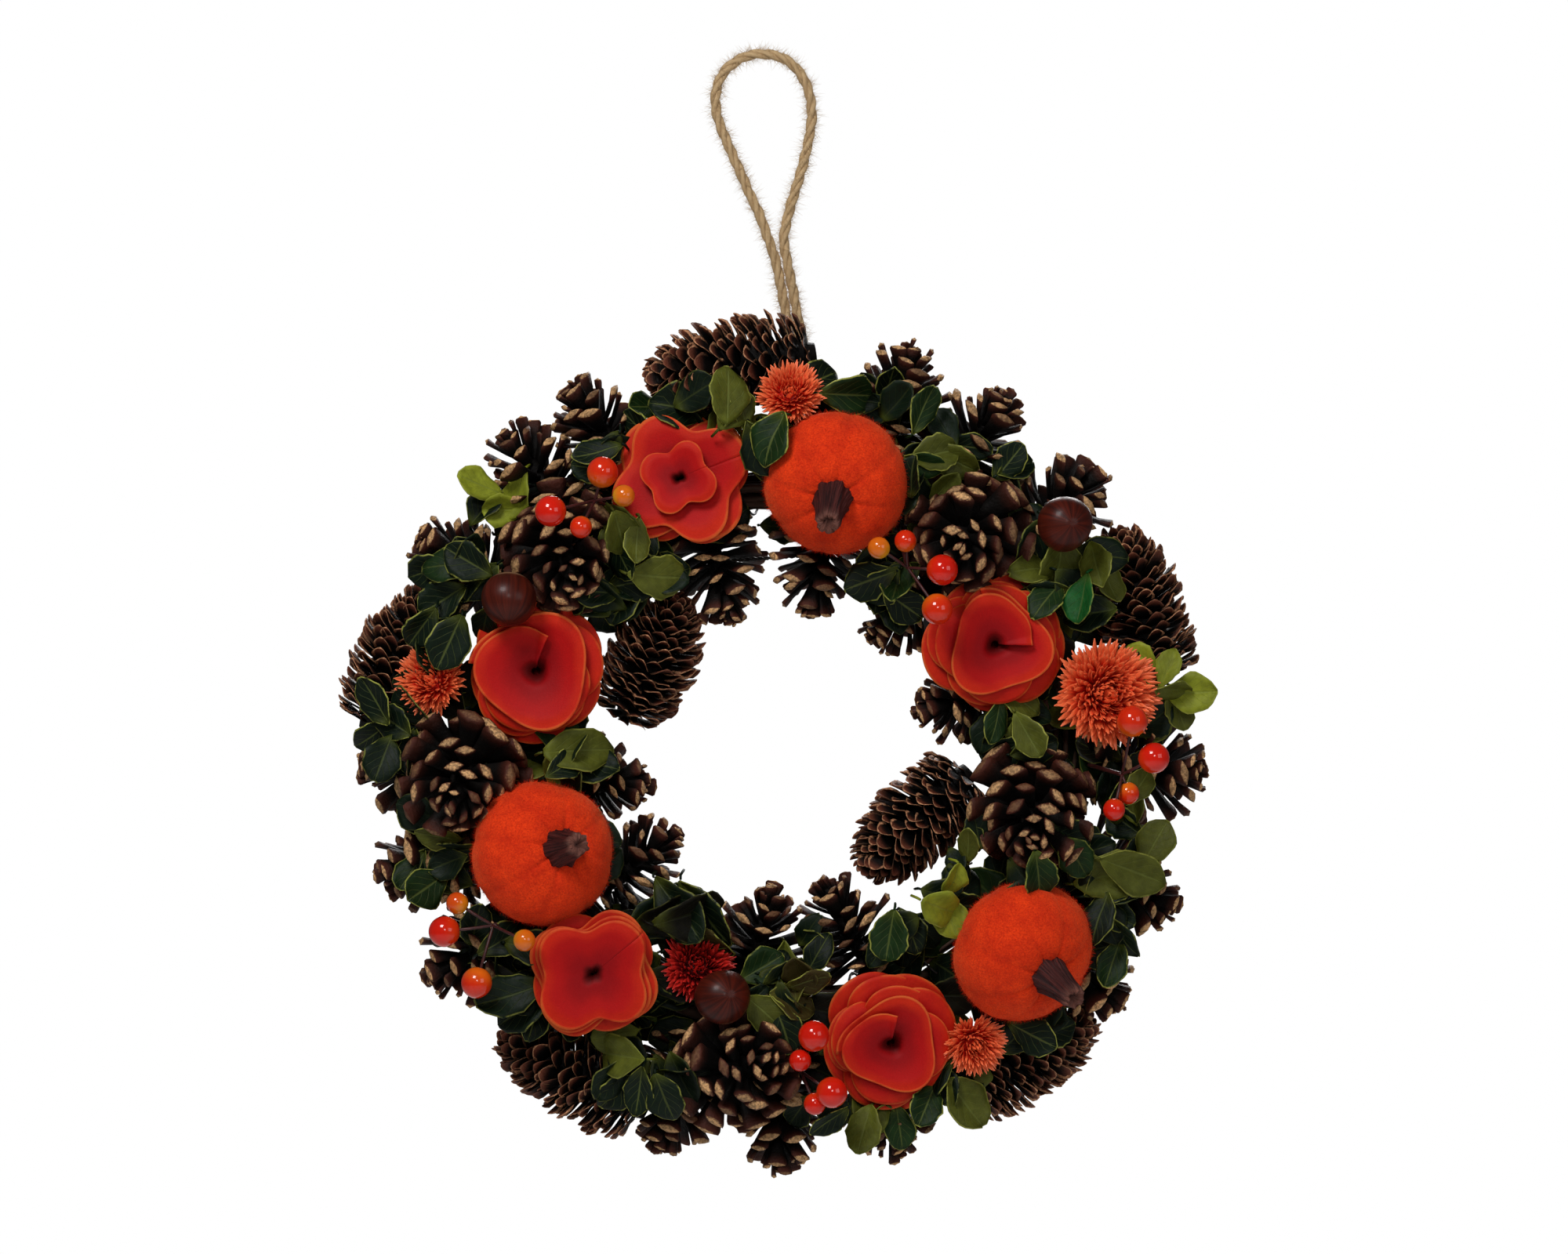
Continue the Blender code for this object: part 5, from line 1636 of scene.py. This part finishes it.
@dataclass
class Chestnuts:
    """Polished chestnuts, point outwards."""

    rows: dict[str, tuple[float, ...]] = field(default_factory=lambda: {
        "left": (299, 13, 48, 180, 60), "right": (51, 31, 46, 90, 12), "bottom": (194, -10, 46, 60, 20)})
    width: float = 21.0
    height: float = 20.0

    def build(self) -> None:
        """Builds every nut."""
        for name, (clock, place, depth, towards, lean) in self.rows.items():
            polar = np.linspace(0.04, math.pi - 0.04, 30)
            radius = self.width / 2 * np.sin(polar) ** 0.9
            rise = -np.cos(polar) * self.height / 2
            rise = (rise + 0.9 * np.exp(-((radius / 2.2) ** 2)) * (rise > 0)
                    - 0.8 * np.exp(-((radius / 0.9) ** 2)) * (rise > 0))
            skin = Skin()
            foot = smooth_step(-0.62, -0.7, rise / (self.height / 2))[:, None] * np.ones((1, 44))
            skin.turned(list(zip(radius, rise)), 44,
                        lambda a, s: 1 + 0.02 * np.cos(2 * a) - 0.015 * np.sin(3 * a), foot=foot)
            matrix = frame_at(on_clock(clock, place, depth), leaning(towards, lean), clock)
            nut = lay(f"chestnut_{name}_shell", skin.mesh(f"chestnut_{name}_shell"), matrix, [CHESTNUT_SHELL])
            enlist(nut, WREATH, "chestnut_shell", f"chestnut_{name}")


class BerryTint(Enum):
    """The lacquer's colour at the tip and at the stalk."""

    RED = ((220, 30, 12), (224, 60, 16))
    SCARLET = ((222, 46, 14), (234, 112, 22))
    ORANGE = ((224, 84, 20), (232, 150, 28))
    AMBER = ((226, 112, 22), (224, 172, 34))


SMALL, LARGE = 8.4, 11.8


@dataclass
class BerryPicks:
    """Moulded berries on wires that meet on one stem."""

    rows: dict[str, tuple[Any, ...]] = field(default_factory=lambda: {
        "top_left": ((323, 13, 46), (325, 6), (
            (327, 20, 50, LARGE, BerryTint.SCARLET), (328, 8, 54, SMALL, BerryTint.AMBER),
            (316, 20, 63, LARGE, BerryTint.RED), (318, 8, 60, SMALL, BerryTint.SCARLET))),
        "top_right": ((34, -22, 44), (27, -9), (
            (25, -21, 51, SMALL, BerryTint.AMBER), (30, -14, 49, SMALL, BerryTint.SCARLET),
            (41, -15, 55, LARGE, BerryTint.RED), (47, -27, 56, LARGE, BerryTint.SCARLET))),
        "right": ((94, 23, 40), (93, 12), (
            (85, 26, 53, LARGE, BerryTint.SCARLET), (91, 34, 49, LARGE, BerryTint.RED),
            (100, 21, 47, SMALL, BerryTint.RED), (97, 26, 40, SMALL, BerryTint.SCARLET))),
        "left": ((239, 23, 40), (236, 11), (
            (245, 31, 41, SMALL, BerryTint.ORANGE), (242, 40, 43, LARGE, BerryTint.RED),
            (234, 15, 54, SMALL, BerryTint.AMBER), (233, 40, 44, LARGE, BerryTint.SCARLET))),
        "bottom": ((177, 16, 40), (176, 7), (
            (174, 2, 52, LARGE, BerryTint.RED), (177, 11, 50, SMALL, BerryTint.RED),
            (172, 24, 52, LARGE, BerryTint.RED), (175, 28, 48, SMALL, BerryTint.RED)))})
    wire: float = 0.6

    def build(self) -> None:
        """Builds every pick."""
        for name, (junction, root, berries) in self.rows.items():
            meet = on_clock(*junction)
            stem = Skin()
            foot = on_clock(*root, RING_OUT)
            stem.tube(smooth_through([foot, foot.lerp(meet, 0.5), meet], 12) * MM, self.wire * 1.5 * MM, 7)
            heads = Skin()
            for clock, place, depth, size, tint in berries:
                spot = on_clock(clock, place, depth)
                out = (spot - meet).normalized()
                bend = meet.lerp(spot, 0.45) + 1.2 * FORWARD
                stem.tube(smooth_through([meet, bend, spot - out * size * 0.4], 14) * MM, self.wire * MM, 7)
                first = len(heads.points)
                self.berry(heads, size, tint)
                heads.moved(first, frame_at(spot, out, clock * 3))
            wires = lay(f"berry_pick_{name}_wires", stem.mesh("wires"), finishes=[BERRY_WIRE])
            fruit = lay(f"berry_pick_{name}_berries", heads.mesh("berries"), finishes=[BERRY_SKIN])
            enlist(fruit, WREATH, "berry_skin", f"berry_pick_{name}")
            enlist(wires, WREATH, "berry_skin")

    @staticmethod
    def berry(skin: Skin, size: float, tint: BerryTint) -> None:
        """Adds one berry, its stalk end at the bottom."""
        polar = np.linspace(0.05, math.pi - 0.05, 20)
        rise = -np.cos(polar)
        radius = np.sin(polar) * size / 2
        height = (rise * 1.02 + 0.05 * np.exp(-((radius / (0.12 * size)) ** 2)) * (rise < 0)) * size / 2
        tip, stalk = (np.array(linear(c)) for c in tint.value)
        share = smooth_step(-0.9, 0.35, rise)[:, None, None]
        colour = (stalk * (1 - share) + tip * share) * np.ones((1, 28, 1))
        skin.turned(list(zip(radius, height)), 28, tint=colour)


# Leaves

class Tint(Enum):
    """Colours of the preserved leaves."""

    # Near-black leaves: painted shade in the gaps deep in the wreath.
    BLACK = (20, 18, 9)
    DARK = (12, 26, 13)
    GREEN = (26, 48, 18)
    BRIGHT = (24, 84, 34)
    OLIVE = (84, 88, 28)
    YELLOW = (138, 146, 40)
    BROWN = (60, 50, 20)


K, D, G, B, O, Y, N = Tint.BLACK, Tint.DARK, Tint.GREEN, Tint.BRIGHT, Tint.OLIVE, Tint.YELLOW, Tint.BROWN


@dataclass
class LeafSprays:
    """Sprays of preserved leaves tucked between everything else."""

    sprays: dict[str, tuple[float, float]] = field(default_factory=lambda: {
        "top_right": (20, 19), "top_left": (341, 33), "right_high": (60, 24), "right_low": (109, 18),
        "bottom": (178, -12), "left_low": (240, 28), "left_high": (298, 34)})
    leaves: tuple[tuple[Any, ...], ...] = (
        # clock, place, depth, length, heading of the tip, tint
        (311, 49, 24, 26, 280, Y), (309, 42, 18, 24, 40, D), (351, 31, 42, 30, 8, O),
        (353, 25, 38, 24, 350, O), (358, 13, 50, 28, 200, G), (343, 31, 30, 30, 280, D),
        (328, 28, 34, 26, 250, D), (326, 24, 28, 24, 280, D), (336, 29, 28, 26, 300, D),
        (338, 36, 24, 26, 250, G), (10, 32, 34, 34, 95, G), (5, 36, 28, 26, 60, D),
        (22, 34, 34, 26, 25, G), (27, 21, 36, 26, 75, O), (25, 9, 42, 22, 20, D),
        (26, 16, 38, 22, 110, G), (38, 34, 26, 24, 40, D), (16, 40, 22, 24, 10, D),
        (31, 30, 24, 26, 100, D), (56, 21, 30, 30, 185, O), (59, 33, 34, 28, 160, O),
        (63, 22, 38, 26, 190, B), (60, 10, 36, 26, 210, G), (54, 12, 32, 26, 250, O),
        (50, 18, 28, 26, 200, D), (78, 44, 30, 22, 20, Y), (82, 52, 28, 26, 85, Y),
        (81, 44, 32, 24, 120, O), (84, 46, 24, 22, 160, O), (27, -33, 34, 28, 250, D),
        (31, -32, 32, 24, 220, D), (39, -34, 32, 26, 130, D), (34, -28, 34, 26, 190, G),
        (82, -24, 34, 24, 200, G), (86, -13, 36, 26, 150, O), (90, -20, 28, 24, 230, D),
        (78, -14, 30, 24, 120, O), (117, -27, 38, 20, 10, O), (127, -25, 42, 17, 200, Y),
        (135, -22, 46, 26, 115, Y), (131, -16, 34, 24, 90, D), (150, -25, 36, 26, 190, G),
        (145, -22, 30, 24, 160, D), (116, 1, 50, 26, 168, G), (110, 12, 42, 24, 150, G),
        (109, 34, 36, 38, 115, O), (104, 40, 34, 26, 30, O), (118, 30, 36, 28, 190, D),
        (119, 42, 30, 28, 165, D), (123, 44, 28, 26, 200, G), (112, 26, 30, 28, 60, D),
        (96, 30, 34, 24, 40, O), (99, 24, 26, 26, 350, D), (139, 38, 34, 28, 115, D),
        (136, 44, 26, 26, 80, D), (153, 46, 27, 30, 140, O), (158, 40, 32, 26, 205, G),
        (155, 32, 28, 26, 230, D), (168, 42, 34, 26, 190, O), (173, 36, 36, 24, 230, D),
        (163, 46, 24, 24, 170, G), (208, 26, 36, 30, 275, O), (203, 35, 34, 28, 195, D),
        (199, 34, 36, 28, 165, D), (206, 38, 28, 26, 220, D), (180, -21, 34, 24, 70, D),
        (174, -18, 38, 24, 60, N), (184, -6, 40, 24, 130, O), (180, 0, 38, 26, 160, D),
        (178, -10, 34, 26, 100, N), (171, -26, 26, 24, 30, D), (186, -22, 28, 26, 60, G),
        (236, 24, 34, 28, 60, D), (232, 16, 36, 28, 100, D), (228, 34, 34, 36, 250, D),
        (226, 26, 28, 30, 290, D), (223, 34, 26, 26, 200, D), (249, 40, 32, 28, 230, G),
        (252, 44, 24, 24, 210, G), (256, 30, 34, 24, 280, O), (253, 26, 30, 26, 250, D),
        (259, 38, 26, 24, 300, D), (277, 51, 32, 28, 330, D), (274, 44, 30, 24, 300, D),
        (269, 47, 34, 26, 200, D), (272, 52, 24, 24, 230, D), (270, -28, 34, 38, 85, O),
        (266, -22, 38, 24, 60, D), (275, -18, 30, 24, 100, G), (299, 40, 36, 26, 270, G),
        (301, 34, 38, 28, 300, D), (297, 46, 28, 26, 250, D), (289, 40, 34, 24, 215, D),
        (288, 28, 38, 30, 205, D), (294, 36, 30, 26, 240, D), (323, -2, 42, 26, 155, O),
        (325, -8, 40, 24, 190, O), (320, -10, 36, 26, 130, D), (324, -24, 36, 32, 100, O),
        (318, -20, 32, 28, 80, D), (310, -12, 36, 28, 270, D), (306, -6, 34, 26, 240, D),
        (312, -22, 26, 26, 200, D), (210, -34, 36, 42, 95, K), (216, -28, 30, 34, 70, K),
        (204, -26, 28, 36, 120, N), (240, -20, 36, 22, 80, G), (205, -8, 24, 34, 100, K),
        (201, -16, 20, 30, 60, K), (208, 2, 22, 30, 140, D), (3, 18, 26, 28, 90, K),
        (359, 6, 20, 28, 40, K), (6, 24, 22, 26, 300, D), (222, -12, 18, 30, 90, K),
        (196, 22, 20, 28, 210, K), (282, 16, 22, 30, 20, K), (284, 10, 18, 28, 200, D),
        (278, 22, 20, 28, 320, K), (73, -2, 18, 30, 60, K), (69, 6, 22, 28, 150, K),
        (100, 6, 16, 30, 200, K), (146, 8, 20, 30, 90, K), (322, 14, 18, 28, 250, K),
        (171, -4, 22, 32, 100, K), (169, 7, 18, 30, 60, K), (231, 34, 18, 30, 250, K),
        (237, 30, 16, 28, 280, K), (213, 20, 18, 28, 180, K))
    backing: int = 130
    companions: int = 2
    shrink: float = 0.78

    def build(self) -> None:
        """Builds every leaf and gives it to the nearest spray."""
        rng = np.random.default_rng(7)
        skins = {name: Skin() for name in self.sprays}
        rows = []
        for clock, place, depth, length, tip, tint in self.leaves:
            size = length * self.shrink
            rows.append((clock, place, depth, size, tip, tint,
                         0.1 if tint is K else 0.4 + 0.5 * rng.random()))
            for _ in range(self.companions):
                near = D if tint in (D, G, K, B) or rng.random() < 0.5 else tint
                rows.append((clock + rng.uniform(-5, 5), min(place + rng.uniform(-10, 6), 36.0),
                             depth - rng.uniform(3, 9), size * rng.uniform(0.8, 1.05),
                             tip + rng.uniform(-80, 80), near, 0.1 + 0.5 * rng.random() ** 2))
        # A ring of backing leaves deep behind everything; every sixth one is near black, painted shade in the
        # gaps.
        for i in range(self.backing):
            clock = 360.0 * (i + rng.random()) / self.backing
            rows.append((clock, rng.uniform(-22, 24), rng.uniform(2, 20), rng.uniform(20, 28),
                         rng.uniform(0, 360), (D, D, K, G, D, O)[i % 6], 0.35))
        for clock, place, depth, length, tip, tint, pale in rows:
            spot = on_clock(clock, place, depth)
            name = min(self.sprays, key=lambda n: (on_clock(*self.sprays[n], 20.0) - spot).length)
            self.leaf(skins[name], rng, spot, float(length), float(tip), tint, pale)
        for name, skin in skins.items():
            leaves = lay(f"leaf_spray_{name}_leaves", skin.mesh("leaves"), finishes=[LEAF])
            thick = leaves.modifiers.new("thickness", "SOLIDIFY")
            thick.thickness, thick.offset = LEAF_THICKNESS, 0.0
            enlist(leaves, WREATH, "preserved_leaf", f"leaf_spray_{name}")

    @staticmethod
    def leaf(skin: Skin, rng: np.random.Generator, spot: Vector, length: float, tip: float, tint: Tint,
             pale: float) -> None:
        """Adds one blade with its stalk.

        Args:
            skin: where it is added.
            rng: the source of its irregular fold and curl.
            spot: the blade's middle.
            length: its length in millimetres.
            tip: the clock angle that its tip points to.
            tint: its colour.
            pale: how strongly the margin and its painted highlight show.
        """
        along = np.linspace(0.015, 0.99, 11)[:, None]
        across = np.linspace(-1.0, 1.0, 7)[None, :]
        width = length * rng.uniform(0.28, 0.4)
        outline = np.sin(math.pi * along ** rng.uniform(1.05, 1.4)) ** rng.uniform(0.55, 0.75)
        scallop = 1 + 0.065 * np.sin(along * rng.uniform(12, 26) + rng.uniform(0, 6) + across)
        x = across * width * outline * scallop
        y = (along - 0.5) * length * np.ones_like(across)
        fold, curl, roll = rng.uniform(0.0, 0.55), rng.uniform(-0.5, 0.7), rng.uniform(-0.2, 0.2)
        ripple = rng.uniform(0.02, 0.07) * length
        z = (fold * np.abs(x) - curl * length * (along - 0.35) ** 2 * np.sign(along - 0.35 + FLOAT_STEP)
             + ripple * np.sin(6.5 * along + rng.uniform(0, 6)) * across ** 2 + roll * x)
        grid = np.stack([x, y, z * np.ones_like(x)], axis=2)
        facing = leaning(rng.uniform(0, 360), rng.uniform(4, 30) + 26 * rng.random() ** 2)
        ahead = heading(tip)
        ahead = (ahead - facing * ahead.dot(facing)).normalized()
        side = ahead.cross(facing)
        turn = Matrix((side, ahead, facing)).transposed().to_4x4()
        matrix = Matrix.Scale(MM, 4) @ Matrix.Translation(spot) @ turn
        colour = np.array(linear(tint.value)) * np.array([*(rng.uniform(0.8, 1.25, 1) * np.ones(3)), 1.0])
        base = np.array(linear(Tint.YELLOW.value)) * 0.5 + colour * 0.5
        share = np.clip(1.2 * smooth_step(0.3, 0.0, along), 0, 1)[:, :, None] * 0.4
        blade = (colour * (1 - share) + base * share) * np.ones((11, 7, 1))
        first = len(skin.points)
        skin.sheet(grid, across=across * np.ones_like(along), along=along * np.ones_like(across),
                   tint=blade, pale=pale)
        stalk = np.array([(0.0, -0.49 * length, -0.1), (0.0, -0.53 * length, -1.6),
                          (0.3, -0.55 * length, -5.0)])
        skin.tube(stalk, 0.38, 5, across=0.5, along=0.5, tint=colour * np.ones((3, 5, 4)), pale=0.0)
        skin.moved(first, matrix)


def main() -> None:
    """Builds the studio and every part of the wreath."""
    logging.basicConfig(level=logging.INFO, format="%(name)s: %(message)s")
    Studio().build()
    HangingLoop().build()
    Tie().build()
    TwigRing().build()
    maker = ConeMaker()
    for group in (RingCones(maker), FacingCones(maker), LongCones(maker)):
        group.build()
    maker.finish()
    for group in (Pumpkins(), Roses(), Strawflowers(), Chestnuts(), BerryPicks(), LeafSprays()):
        group.build()


if __name__ == "__main__":
    main()
